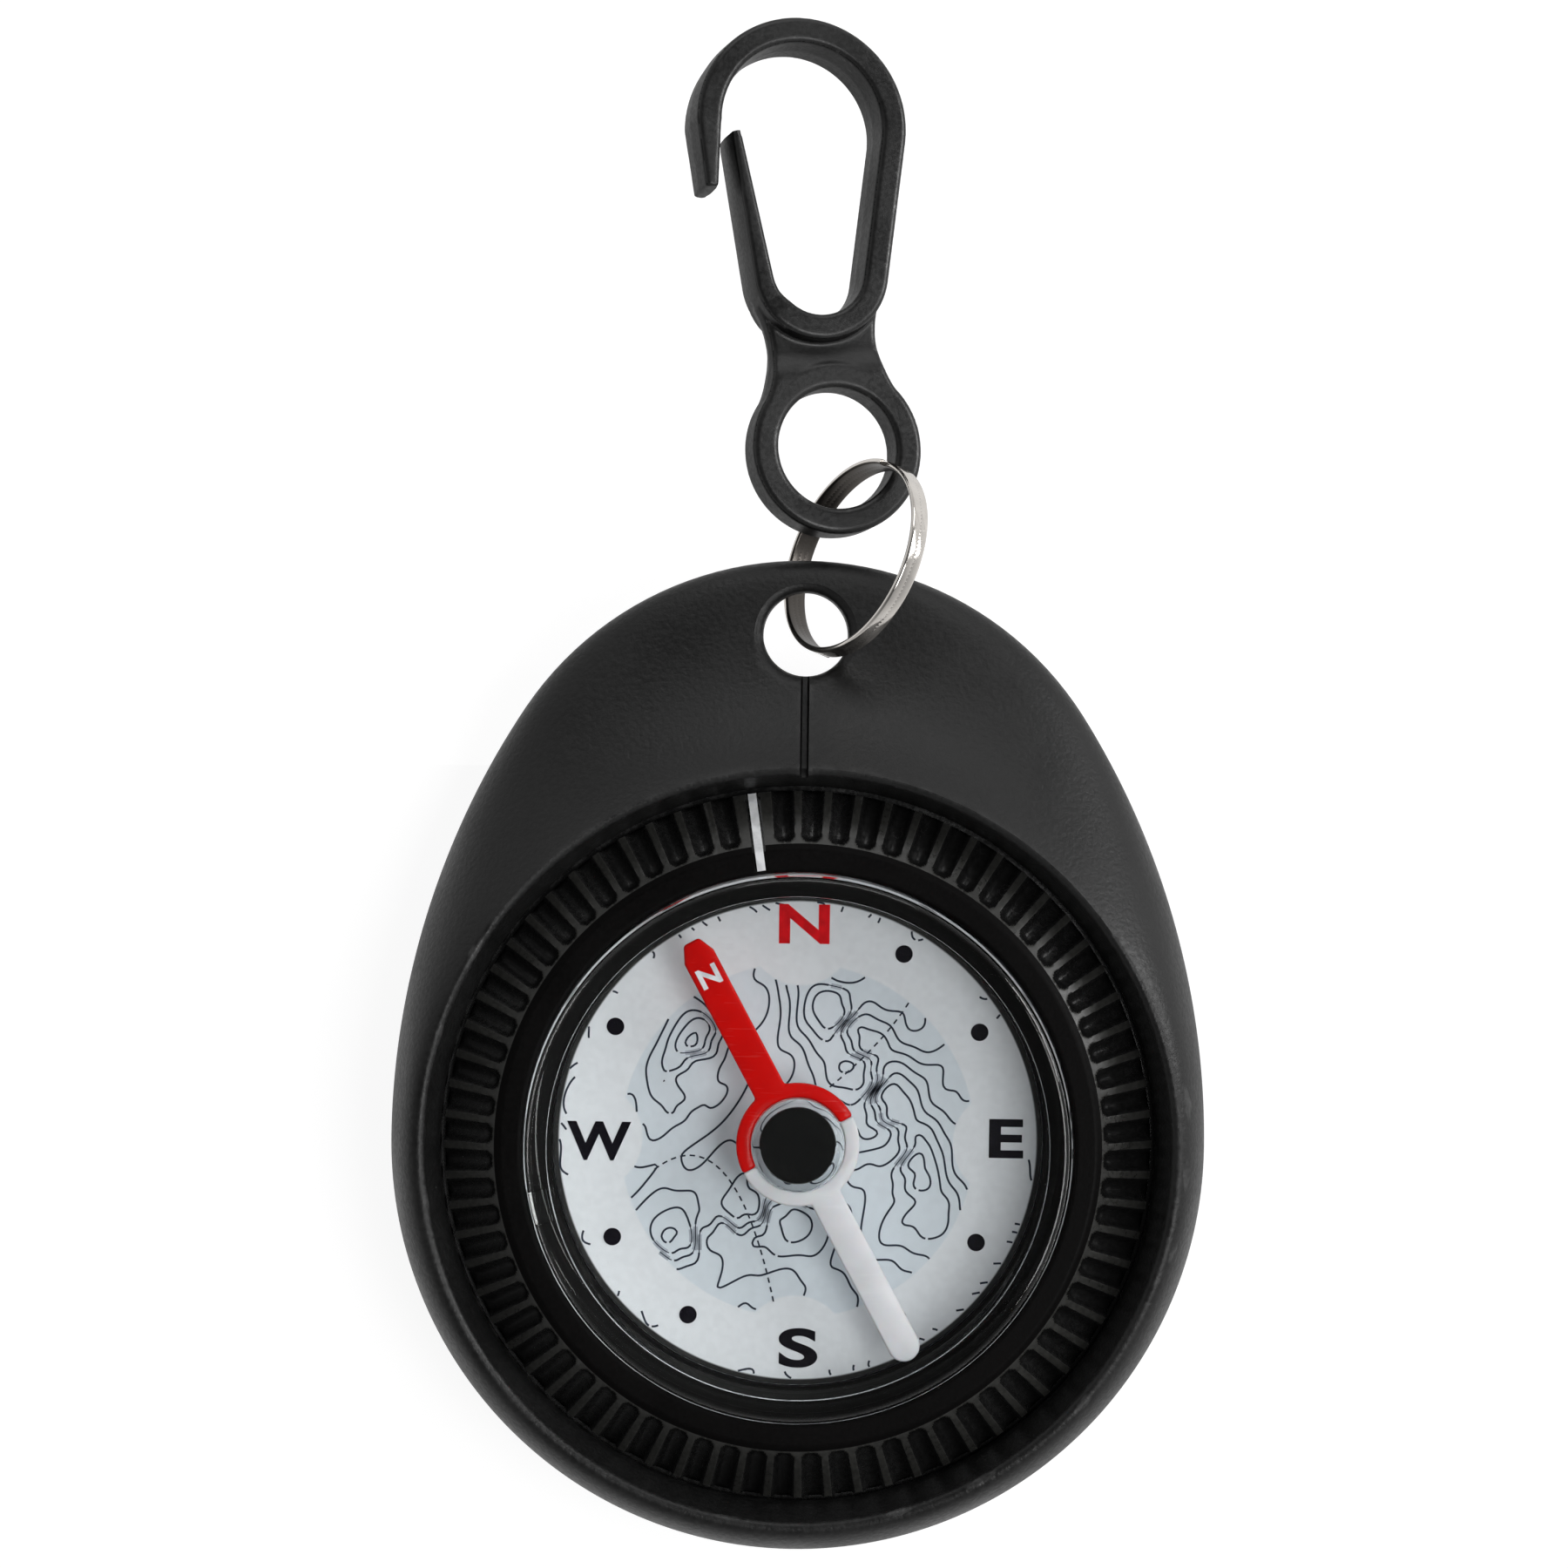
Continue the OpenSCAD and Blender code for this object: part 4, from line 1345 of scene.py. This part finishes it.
def on_cliff(x, y):
    """Whether the made-up country is steep at a place in millimetres."""
    step = SLOPE_STEP
    east = map_height(np.array([x - step, x + step]), np.array([y, y]))
    north = map_height(np.array([x, x]), np.array([y - step, y + step]))
    return math.hypot(east[1] - east[0], north[1] - north[0]) > CLIFF_SLOPE * 2 * step


def stretches(places, wanted):
    """Unbroken stretches of a chain of places that are wanted."""
    run = []
    for x, y in places:
        if wanted(x, y):
            run.append((x, y))
            continue
        if len(run) >= FEWEST_POINTS:
            yield run
        run = []
    if len(run) >= FEWEST_POINTS:
        yield run


def add_bar(bars, bar):
    """Adds the points and faces of one bar to those of many."""
    start = len(bars[0])
    bars[0].extend(bar[0])
    bars[1].extend([start + index for index in face] for face in bar[1])


# Offset that makes the built-in font bold, in its own units
LETTER_STROKE = 0.03
# Half the depth of a letter before it is stretched to its own
LETTER_HALF = 0.5
# Letters of the dial, as (letter, x, y, width for its height), in millimetres
DIAL_LETTERS = [
    ("E", 11.24, 0.27, 0.87),
    ("N", 0.18, 11.65, 1.3),
    ("W", -10.72, -0.2, 1.62),
    ("S", 0.2, -11.2, 1.0),
]


def letter(name, body, width, height, low, high, material):
    """A bold letter as a thin mesh, centred, with its width and cap height."""
    curve = bpy.data.curves.new(name, "FONT")
    curve.body = body
    curve.offset = LETTER_STROKE
    curve.extrude = LETTER_HALF
    text = link(bpy.data.objects.new(name, curve))
    bpy.context.view_layer.update()
    graph = bpy.context.evaluated_depsgraph_get()
    mesh = bpy.data.meshes.new_from_object(text.evaluated_get(graph))
    bpy.data.objects.remove(text)
    bpy.data.curves.remove(curve)
    piece = link(bpy.data.objects.new(name, mesh))
    corners = np.array([vert.co for vert in mesh.vertices])
    lowest, highest = corners.min(0), corners.max(0)
    across, up, _ = highest - lowest
    stretch = Matrix.Diagonal((width / across, height / up, high - low, 1))
    middle = Matrix.Translation(Vector((lowest + highest) / -2))
    move(piece, Matrix.Translation((0, 0, (low + high) / 2)) @ stretch @ middle)
    mesh.materials.clear()
    mesh.materials.append(material)
    return close_up(piece)


def dots_between_letters():
    """Round dots on a circle, with every third place left for a letter."""
    tree, given, out = geometry_tree(
        "Dots between letters",
        {"Circle Radius": "Float", "Dot Radius": "Float", "Thickness": "Float", "Height": "Float"},
    )
    circle = add_node(tree, "GeometryNodeMeshCircle", {"Vertices": 12, "Radius": given["Circle Radius"]})
    index = add_node(tree, "GeometryNodeInputIndex").outputs[0]
    chosen = math_node(tree, "GREATER_THAN", math_node(tree, "MODULO", index, 3), 0.5)
    inputs = {"Vertices": 40, "Radius": given["Dot Radius"], "Depth": given["Thickness"]}
    dot = add_node(tree, "GeometryNodeMeshCylinder", inputs).outputs[0]
    whole = realize(tree, scatter(tree, circle.outputs[0], dot, Selection=chosen))
    lift = add_node(tree, "ShaderNodeCombineXYZ", {"Z": given["Height"]}).outputs[0]
    raised = add_node(tree, "GeometryNodeTransform", {"Geometry": whole, "Translation": lift}).outputs[0]
    return painted(tree, given, out, raised)


def trail_dashes():
    """Short dashes along a bent line, as a footpath is drawn on a map."""
    tree, given, out = geometry_tree(
        "Trail dashes",
        {"Start": "Vector", "Middle": "Vector", "End": "Vector", "Spacing": "Float", "Dash Size": "Vector"},
    )
    inputs = {"Resolution": 48, **{name: given[name] for name in ("Start", "Middle", "End")}}
    line = add_node(tree, "GeometryNodeCurveQuadraticBezier", inputs).outputs[0]
    inputs = {"Curve": line, "Length": given["Spacing"]}
    spots = add_node(tree, "GeometryNodeCurveToPoints", inputs, mode="LENGTH").outputs
    dash = add_node(tree, "GeometryNodeMeshCube", {"Size": given["Dash Size"]}).outputs[0]
    inputs = {"Vector": spots["Tangent"]}
    aligned = add_node(tree, "FunctionNodeAlignEulerToVector", inputs, axis="X", pivot_axis="Z").outputs[0]
    return painted(tree, given, out, realize(tree, scatter(tree, spots[0], dash, Rotation=aligned)))


# Footpaths on the map, each by its start, middle and end, in millimetres
DASH_LENGTH = 0.3 * MM
DASH_WIDTH = 0.09 * MM
DASH_SPACING = 0.5 * MM
MAP_TRAILS = [((-7.6, -1.6), (-3.5, 1.4), (-1.2, -8.6)), ((1.8, 3.0), (4.4, 5.2), (5.8, 7.4))]


class COMPASS_OT_dial(Operator):
    """Prints the dial: letters, dots and a made-up map"""

    bl_idname = "compass.dial"
    bl_label = "Dial"

    def execute(self, context):
        capsule = context.scene.compass_capsule
        low, high = capsule.dial_z - capsule.ink_t, capsule.dial_z + 2 * capsule.ink_t
        dress("dial_card", "dial_print")
        dark, line_ink = finish_of("ink_dark"), finish_of("ink_line")
        tall = capsule.letter_h
        marks = []
        for body, x, y, width in DIAL_LETTERS:
            ink = finish_of("ink_red") if body == "N" else dark
            mark = letter("letter_" + body, body, width * tall, tall, low, high, ink)
            marks.append(move(mark, Matrix.Translation((x * MM, y * MM, 0))))
        values = {
            "Circle Radius": capsule.dots_r,
            "Dot Radius": capsule.dot_r,
            "Thickness": high - low,
            "Height": (low + high) / 2,
            "Material": dark,
        }
        dots = run_nodes("dial_dots", dots_between_letters(), values)
        move(dots, Matrix.Translation(Vector(capsule.dots_at)))
        tree = trail_dashes()
        trails = []
        for spots in MAP_TRAILS:
            dash = (DASH_LENGTH, DASH_WIDTH, 3 * capsule.ink_t)
            values = {"Spacing": DASH_SPACING, "Dash Size": dash, "Material": line_ink}
            for name, (x, y) in zip(("Start", "Middle", "End"), spots):
                values[name] = (x * MM, y * MM, (low + high) / 2)
            trails.append(run_nodes("trail", tree, values))
        settle(shade(join("dial_letters", marks + [dots]), PRINT_CREASE), "case", "dial_white")
        country = map_lines(capsule, line_ink, finish_of("ink_wash"))
        settle(shade(join("dial_map", country + trails), PRINT_CREASE), "case", "dial_white")
        return {"FINISHED"}


# The needle

HUB_STEPS = 96
HUB_EDGE = 0.5 * MM
WELL_SLACK = 0.04 * MM
ARM_EDGE = 0.14 * MM
MARK_RISE = 0.015 * MM
MARK_SHAPE = 1.05
BEARING_R = 0.905 * MM
CAP_RISE = 0.006 * MM
CAP_T = 0.005 * MM


def arm_outline(hub_r, ring_r, width, tip):
    """Half a ring round the hub and an arm along +Y, whose end is the points of tip, right to left."""
    root = math.acos(width / 2 / ring_r)
    right = arc((0, 0), ring_r, 0, root, steps=16)
    left = arc((0, 0), ring_r, math.pi - root, math.pi, steps=16)
    return right + tip + left + arc((0, 0), hub_r, math.pi, 0, steps=40)


class COMPASS_OT_needle(Operator):
    """Builds the needle's two arms, its clear hub and its mark"""

    bl_idname = "compass.needle"
    bl_label = "Needle"

    def execute(self, context):
        needle = context.scene.compass_needle
        half, blunt, reach = needle.north_w / 2, needle.tip_w / 2, needle.north_reach
        tip = [(half, reach - needle.taper), (blunt, reach), (-blunt, reach), (-half, reach - needle.taper)]
        end_r = needle.south_w / 2
        round_end = arc((0, needle.south_reach - end_r), end_r, 0, math.pi, steps=24)
        for side, width, end, turn, slot in (
            ("north", needle.north_w, tip, 0, "needle_red"),
            ("south", needle.south_w, round_end, math.pi, "needle_white"),
        ):
            outline = arm_outline(needle.hub_r + HAIR, needle.ring_r, width, end)
            finish = finish_of(slot + "_plastic")
            arm = prism("needle_" + side + "_arm", outline, needle.low, needle.high, finish)
            bevel(arm, ARM_EDGE, segments=3, degrees=35)
            move(arm, Matrix.Rotation(needle.turn + turn, 4, "Z"))
            settle(shade(arm, ROUND_CREASE), "needle", slot, "needle_" + side)
        low, high = needle.high - HAIR, needle.high + MARK_RISE
        wide = needle.mark_h * MARK_SHAPE
        mark = letter("needle_mark", "N", wide, needle.mark_h, low, high, finish_of("ink_white"))
        move(mark, Matrix.Rotation(needle.turn, 4, "Z") @ Matrix.Translation((0, needle.mark_r, 0)))
        settle(mark, "needle", "needle_white")
        for name, section, finish, slot in (
            ("hub", self.hub_section(needle), "hub_acrylic", "hub_clear"),
            ("magnet", self.magnet_section(needle), "magnet_ferrite", "magnet_black"),
        ):
            piece = revolved(name, lambda a: section, HUB_STEPS, True, finish_of(finish))
            settle(shade(piece, ROUND_CREASE), "needle", slot, "needle_" + name)
        dress("pivot_jewel", "turned_brass")
        return {"FINISHED"}

    def magnet_section(self, needle):
        """A ring round the bearing, with a thin cap over it."""
        top = needle.well_top + CAP_RISE
        return [
            (BEARING_R, needle.hub_low),
            (needle.well_r, needle.hub_low),
            (needle.well_r, top),
            (0, top),
            (0, top - CAP_T),
            (BEARING_R, top - CAP_T),
        ]

    def hub_section(self, needle):
        """A cup with a rounded top edge and a well for the magnet."""
        well_r, well_top = needle.well_r + WELL_SLACK, needle.well_top + WELL_SLACK
        rows = [(needle.hub_r, needle.hub_low)]
        rows += arc((needle.hub_r - HUB_EDGE, needle.hub_top - HUB_EDGE), HUB_EDGE, 0, QUARTER, steps=8)
        return rows + [(0, needle.hub_top), (0, well_top), (well_r, well_top), (well_r, needle.hub_low)]


# The split ring

COIL_GAP = 0.02 * MM
WIRE_ROUND = 0.14 * MM
WIRE_CREASE = 50
# Faces that look further in towards the ring's axis than this get the darker plating, as painted shade
FACES_INWARDS = 0.5


def coiled_wire():
    """A flattened wire along a helix."""
    tree, given, out = geometry_tree(
        "Coiled wire",
        {
            "Turns": "Float",
            "Radius": "Float",
            "Rise": "Float",
            "Wire Width": "Float",
            "Wire Height": "Float",
            "Rounding": "Float",
        },
    )
    inputs = {"Resolution": 160, "Rotations": given["Turns"], "Height": given["Rise"]}
    inputs.update({end: given["Radius"] for end in ("Start Radius", "End Radius")})
    helix = add_node(tree, "GeometryNodeCurveSpiral", inputs).outputs[0]
    upright = add_node(tree, "GeometryNodeSetCurveNormal", {"Curve": helix}, mode="Z_UP").outputs[0]
    inputs = {"Width": given["Wire Height"], "Height": given["Wire Width"]}
    section = add_node(tree, "GeometryNodeCurvePrimitiveQuadrilateral", inputs).outputs[0]
    inputs = {"Curve": section, "Count": 4, "Radius": given["Rounding"]}
    rounded = add_node(tree, "GeometryNodeFilletCurve", inputs, mode="POLY").outputs[0]
    inputs = {"Curve": upright, "Profile Curve": rounded, "Fill Caps": True}
    return painted(tree, given, out, add_node(tree, "GeometryNodeCurveToMesh", inputs).outputs[0])


class COMPASS_OT_split_ring(Operator):
    """Coils the split ring"""

    bl_idname = "compass.split_ring"
    bl_label = "Split ring"

    def execute(self, context):
        ring = context.scene.compass_ring
        pitch = (ring.band + COIL_GAP) / (ring.coils + 1)
        rise = pitch * ring.coils
        values = {
            "Turns": ring.coils,
            "Radius": ring.radius - ring.wire / 2,
            "Rise": rise,
            "Wire Width": ring.wire,
            "Wire Height": pitch - COIL_GAP,
            "Rounding": WIRE_ROUND,
            "Material": finish_of("bright_plating"),
        }
        coil = run_nodes("split_ring_coil", coiled_wire(), values)
        # Faces turned in towards the ring's axis take the darker copy of the plating: painted shade
        coil.data.materials.append(finish_of("dull_plating"))
        for face in coil.data.polygons:
            inwards = -face.normal.xy.dot(face.center.xy.normalized())
            face.material_index = 1 if inwards > FACES_INWARDS else 0
        overlap = Matrix.Rotation(-math.pi * (ring.coils % 1), 4, "Z")
        move(coil, pose_matrix(ring.at, ring.turn) @ overlap @ Matrix.Translation((0, 0, -rise / 2)))
        settle(shade(close_up(coil), WIRE_CREASE), "ring", "ring_nickel", "split_ring")
        return {"FINISHED"}


# The snap hook, worked out in millimetres and then put in place

VOXEL = 0.1
SMOOTHING_ROUNDS = 4
SMOOTHING_PULL = 0.5
STEEP_WALL = 0.5
HOOK_CREASE = 60
BAR_EDGE = 0.24
BAR_DRAFT = 0.07
EYE_EDGE = 0.28
EYE_STEPS = 120
# The neck: where its dish starts, and the room that the eye's hole and the loop leave for it
NECK_STEPS = 40
DISH_START = 0.4
ROOM_SLACK = 0.3
ROOM_REACH = 3
ROOM_STEPS = 64
# The loop's ends: the shares of its length that taper, and the widths and thickness they taper to
BEAK_SHARE = 1 / 20
ROOT_SHARE = 1 / 16
BEAK_W = 0.55
ROOT_W = 0.8
END_T = 0.9
# The tongue: how far round the foot it starts, the steps of its bend, and its blunt tip
ROOT_TURN = 0.9
ROOT_STEP = 0.1
BEND_STEPS = 18
FLEX_STEPS = 8
TIP_START = 0.97
TIP_BLUNT = 0.45
TIP_LEAST = 0.6


def bar_section(width, thick):
    """A bar's section, with a rounded face and a faint parting ridge half way down each side."""
    half, up = width / 2, thick / 2
    centre = half - BAR_DRAFT - BAR_EDGE
    right = arc((centre, -up + BAR_EDGE), BAR_EDGE, -QUARTER, 0, steps=4) + [(half, 0)]
    right += arc((centre, up - BAR_EDGE), BAR_EDGE, 0, QUARTER, steps=4)
    return right + [(-x, y) for x, y in reversed(right)]


def swept(name, path, section_at):
    """A closed bar along a flat path, in millimetres."""
    return close_up(new_piece(name, *swept_sections(path, section_at)), gap=1e-4)


def straight(start, end, steps):
    """Points on the way from one place to another, without the start."""
    return [tuple(Vector(start).lerp(Vector(end), k / steps)) for k in range(1, steps + 1)]


def on_circle(centre, radius, a):
    """A place on a circle."""
    return centre + radius * Vector((math.cos(a), math.sin(a)))


def loop_path(hook):
    """The middle of the loop's bar: from the beak, over the arch, down and round the foot."""
    half = hook.bar / 2
    foot, arch = Vector(hook.foot_at[:2]) / MM, Vector(hook.arch_at[:2]) / MM
    foot_r, arch_r = (hook.foot_r - half) / MM, (hook.arch_r - half) / MM
    run = arch - foot
    axis = math.atan2(run.y, run.x)
    lean = math.acos((foot_r - arch_r) / run.length)
    left, right = axis + lean, axis - lean
    leave = math.pi + hook.beak_lean
    top = on_circle(arch, arch_r, leave)
    drop = top.y - hook.beak_y / MM
    beak = top + Vector((math.tan(hook.beak_lean) * drop, -drop))
    path = [tuple(beak)] + straight(beak, top, steps=6)[:-1]
    path += arc(arch, arch_r, leave, right, steps=72)
    path += straight(path[-1], on_circle(foot, foot_r, right), steps=8)[:-1]
    return path + arc(foot, foot_r, right, left - math.tau, steps=48)


def neck_piece(hook):
    """The dished neck, whose hollow sides run smoothly into the eye and the loop's foot."""
    eye_r, foot_r, fillet = hook.eye_r / MM, hook.foot_r / MM, hook.neck_fillet / MM
    foot = Vector(hook.foot_at[:2]) / MM
    run = foot.length
    waist = ((eye_r + fillet) ** 2 - (foot_r + fillet) ** 2 + run * run) / (2 * run)
    off = math.sqrt((eye_r + fillet) ** 2 - waist * waist)
    low = waist * eye_r / (eye_r + fillet)
    high = run + (waist - run) * foot_r / (foot_r + fillet)
    path = [tuple(foot * mix(low, high, k / NECK_STEPS) / run) for k in range(NECK_STEPS + 1)]
    thin, thick = hook.neck_t / MM, hook.eye_t / MM

    def section(share):
        y = mix(low, high, share)
        half = off - math.sqrt(fillet * fillet - (y - waist) ** 2)
        along = (y - low) / (run - foot_r - low)
        fall = min(1, max(0, along - DISH_START) / (1 - DISH_START))
        return bar_section(2 * half, mix(thick, thin, fall * fall * (3 - 2 * fall)))

    neck = swept("neck", path, section)
    rooms = []
    for centre, radius in (((0, 0), hook.eye_hole_r / MM), (foot, (hook.foot_r - hook.bar) / MM)):
        circle = arc(centre, radius + ROOM_SLACK, 0, math.tau * (1 - 1 / ROOM_STEPS), ROOM_STEPS - 1)
        rooms.append(prism("room", circle, -ROOM_REACH, ROOM_REACH))
    return cut(neck, *rooms)


def eye_piece(hook):
    """The eye: a flat ring with rounded edges."""
    edge, up = EYE_EDGE, hook.eye_t / MM / 2
    out, hole = hook.eye_r / MM, hook.eye_hole_r / MM
    section = arc((out - edge, up - edge), edge, 0, QUARTER, steps=5)
    section += arc((hole + edge, up - edge), edge, QUARTER, math.pi, steps=5)
    section += [(r, -z) for r, z in reversed(section)]
    return revolved("eye", lambda a: section, EYE_STEPS, True)


def fuse(piece):
    """Runs overlapping closed forms together into one moulding with soft inner corners."""
    remesh = piece.modifiers.new("Fuse", "REMESH")
    remesh.mode = "VOXEL"
    remesh.voxel_size = VOXEL
    soften = piece.modifiers.new("Soften", "SMOOTH")
    soften.factor = SMOOTHING_PULL
    soften.iterations = SMOOTHING_ROUNDS
    return bake(piece)


class COMPASS_OT_hook(Operator):
    """Builds the snap hook and its tongue"""

    bl_idname = "compass.hook"
    bl_label = "Snap hook"

    def execute(self, context):
        hook = context.scene.compass_hook
        set_down = pose_matrix(hook.at, hook.turn) @ Matrix.Scale(MM, 4)
        bar, thick = hook.bar / MM, hook.thick / MM

        def loop_section(share):
            beak, root = min(1, share / BEAK_SHARE), min(1, (1 - share) / ROOT_SHARE)
            width = bar * mix(BEAK_W, 1, beak) * mix(ROOT_W, 1, root)
            return bar_section(width, thick * mix(END_T, 1, beak * root))

        loop = swept("loop", loop_path(hook), loop_section)
        whole = fuse(join("hook_body", [loop, neck_piece(hook), eye_piece(hook)]))
        self.paint(whole)
        settle(shade(move(whole, set_down), HOOK_CREASE), "hook", "hook_black", "hook_frame")

        tongue_path = self.tongue_path(hook)
        tip_w, tongue_t = hook.tip_w / MM, hook.tongue_t / MM

        def tongue_section(share):
            blunt = 1 - TIP_BLUNT * max(0, share - TIP_START) / (1 - TIP_START)
            return bar_section(max(mix(bar - ROOT_STEP, tip_w, share) * blunt, TIP_LEAST), tongue_t)

        tongue = swept("hook_tongue", tongue_path, tongue_section)
        self.paint(tongue)
        shade(move(tongue, set_down), HOOK_CREASE)
        flex = [set_down @ Vector(tongue_path[k]).to_3d() for k in (BEND_STEPS, BEND_STEPS + FLEX_STEPS)]
        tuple(flex[0])
        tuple(flex[1])
        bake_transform(tongue)
        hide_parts("hook_gate")
        return {"FINISHED"}

    def paint(self, piece):
        """Gives the moulding its satin finish, and its steep walls a copy with less sheen that paints shade
        on them.
        """
        piece.data.materials.clear()
        for name in ("hook_satin", "hook_walls"):
            piece.data.materials.append(finish_of(name))
        for face in piece.data.polygons:
            # Steep walls take the low-sheen copy, which paints shade on them
            face.material_index = 1 if abs(face.normal.z) < STEEP_WALL else 0

    def tongue_path(self, hook):
        """From inside the loop's foot round to the straight tongue and its tip."""
        foot, tip = Vector(hook.foot_at[:2]) / MM, Vector(hook.tip_at[:2]) / MM
        radius = (hook.foot_r - hook.bar / 2) / MM
        reach = tip - foot
        leave = math.atan2(reach.y, reach.x) + math.acos(radius / reach.length)
        path = arc(foot, radius, leave + ROOT_TURN, leave, BEND_STEPS)
        return path + straight(path[-1], tip, steps=40)


# The stage

WHITE = (1, 1, 1, 1)
SENSOR_W = 36
FLOOR_HALF = 12.0
FLOOR_GAP = 0.05 * MM
# Lamps, as (name, place, width, height, watts), and what they point at, in millimetres
LAMP_AIM = (0, 12, 4)
LAMPS = (
    ("key", (170, -40, 340), 160, 160, 0.42),
    ("side", (300, 120, 180), 140, 140, 0.42),
    ("fill", (-260, 200, 240), 200, 200, 0.03),
    ("back", (40, 340, 200), 260, 120, 0.18),
)


class COMPASS_OT_stage(Operator):
    """Sets the camera, the pale floor and the soft lamps"""

    bl_idname = "compass.stage"
    bl_label = "Stage"

    def execute(self, context):
        scene = context.scene
        stage = scene.compass_stage
        scene.view_settings.view_transform = "Standard"
        camera = link(bpy.data.objects.new("camera", bpy.data.cameras.new("camera")))
        camera.location = stage.camera_at
        camera.rotation_euler.z = stage.camera_roll
        camera.data.lens = stage.lens
        camera.data.sensor_width = SENSOR_W
        camera.data.clip_start = 1 * MM
        scene.camera = camera
        self.add_floor(scene, stage)
        self.add_world(scene, stage)
        self.add_lamps()
        return {"FINISHED"}

    def add_floor(self, scene, stage):
        """A wide floor that the camera, glass and metal see as white, with the object's shadow on it.

        In front of the case's base it falls away, so that the hook has room to hang lower than the back.
        """
        half = FLOOR_HALF
        rows = ((-half, 0), (stage.dip_start, 0), (stage.dip_end, -stage.dip), (half, -stage.dip))
        verts = [(x, y, z) for y, z in rows for x in (-half, half)]
        tree, shader = new_material(
            "pale_floor",
            Base_Color=scene.compass_colours.floor,
            Roughness=0.9,
            Specular_IOR_Level=0.0,
            Emission_Color=WHITE,
        )
        path = add_node(tree, "ShaderNodeLightPath").outputs
        seen = math_node(tree, "MAXIMUM", path["Is Camera Ray"], path["Is Transmission Ray"])
        mirrored = math_node(tree, "MULTIPLY", path["Is Glossy Ray"], stage.floor_mirrored)
        seen = math_node(tree, "MAXIMUM", seen, mirrored)
        feed(shader, Emission_Strength=math_node(tree, "MULTIPLY", seen, stage.floor_glow))
        faces = [(k, k + 1, k + 3, k + 2) for k in (0, 2, 4)]
        floor = new_piece("floor", verts, faces, finish_of("pale_floor"))
        floor.location.z = -FLOOR_GAP

    def add_world(self, scene, stage):
        """A room with a dim ceiling and paler walls, the right one palest."""
        world = bpy.data.worlds.new("pale_room")
        world.use_nodes = True
        tree = world.node_tree
        coords = add_node(tree, "ShaderNodeTexCoord").outputs["Generated"]
        towards = add_node(tree, "ShaderNodeSeparateXYZ", {0: coords}).outputs
        level = ramp(tree, towards["Z"], 0, 1, stage.walls, stage.ceiling, "LINEAR")
        across = ramp(tree, towards["X"], -1, 1, stage.left_wall, 1, "LINEAR")
        background = tree.nodes["Background"]
        background.inputs["Color"].default_value = WHITE
        feed(background, Strength=math_node(tree, "MULTIPLY", level, across))
        scene.world = world

    def add_lamps(self):
        """Soft lamps round the object, none of them straight above the lens."""
        aim = Vector(LAMP_AIM) * MM
        for name, at, width, height, power in LAMPS:
            lamp = bpy.data.lights.new(name, "AREA")
            lamp.shape = "RECTANGLE"
            lamp.size = width * MM
            lamp.size_y = height * MM
            lamp.energy = power
            holder = link(bpy.data.objects.new(name, lamp))
            holder.location = Vector(at) * MM
            holder.rotation_euler = (aim - holder.location).to_track_quat("-Z", "Y").to_euler()


class COMPASS_PT_panel(Panel):
    """Lists the pieces of the compass"""

    bl_idname = "COMPASS_PT_panel"
    bl_label = "Pocket compass"
    bl_space_type = "VIEW_3D"
    bl_region_type = "UI"
    bl_category = "Compass"

    def draw(self, context):
        for operator in OPERATORS:
            self.layout.operator(operator.bl_idname)
        for name, _ in SETTINGS:
            box = self.layout.box()
            group = getattr(context.scene, name)
            for key in group.bl_rna.properties.keys():
                if key not in ("rna_type", "name"):
                    box.prop(group, key)


SETTINGS = (
    ("compass_case", CompassCase),
    ("compass_bezel", CompassBezel),
    ("compass_capsule", CompassCapsule),
    ("compass_needle", CompassNeedle),
    ("compass_ring", CompassRing),
    ("compass_hook", CompassHook),
    ("compass_colours", CompassColours),
    ("compass_stage", CompassStage),
)
OPERATORS = (
    COMPASS_OT_stage,
    COMPASS_OT_case,
    COMPASS_OT_bezel,
    COMPASS_OT_capsule,
    COMPASS_OT_dial,
    COMPASS_OT_needle,
    COMPASS_OT_split_ring,
    COMPASS_OT_hook,
)


def register():
    for name, group in SETTINGS:
        bpy.utils.register_class(group)
        setattr(bpy.types.Scene, name, PointerProperty(type=group))
    for operator in OPERATORS:
        bpy.utils.register_class(operator)
    bpy.utils.register_class(COMPASS_PT_panel)


def unregister():
    bpy.utils.unregister_class(COMPASS_PT_panel)
    for operator in reversed(OPERATORS):
        bpy.utils.unregister_class(operator)
    for name, group in reversed(SETTINGS):
        delattr(bpy.types.Scene, name)
        bpy.utils.unregister_class(group)


def main():
    """Registers the add-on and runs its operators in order."""
    register()
    make_materials(bpy.context)
    for operator in OPERATORS:
        group, name = operator.bl_idname.split(".")
        getattr(getattr(bpy.ops, group), name)()


if __name__ == "__main__":
    main()
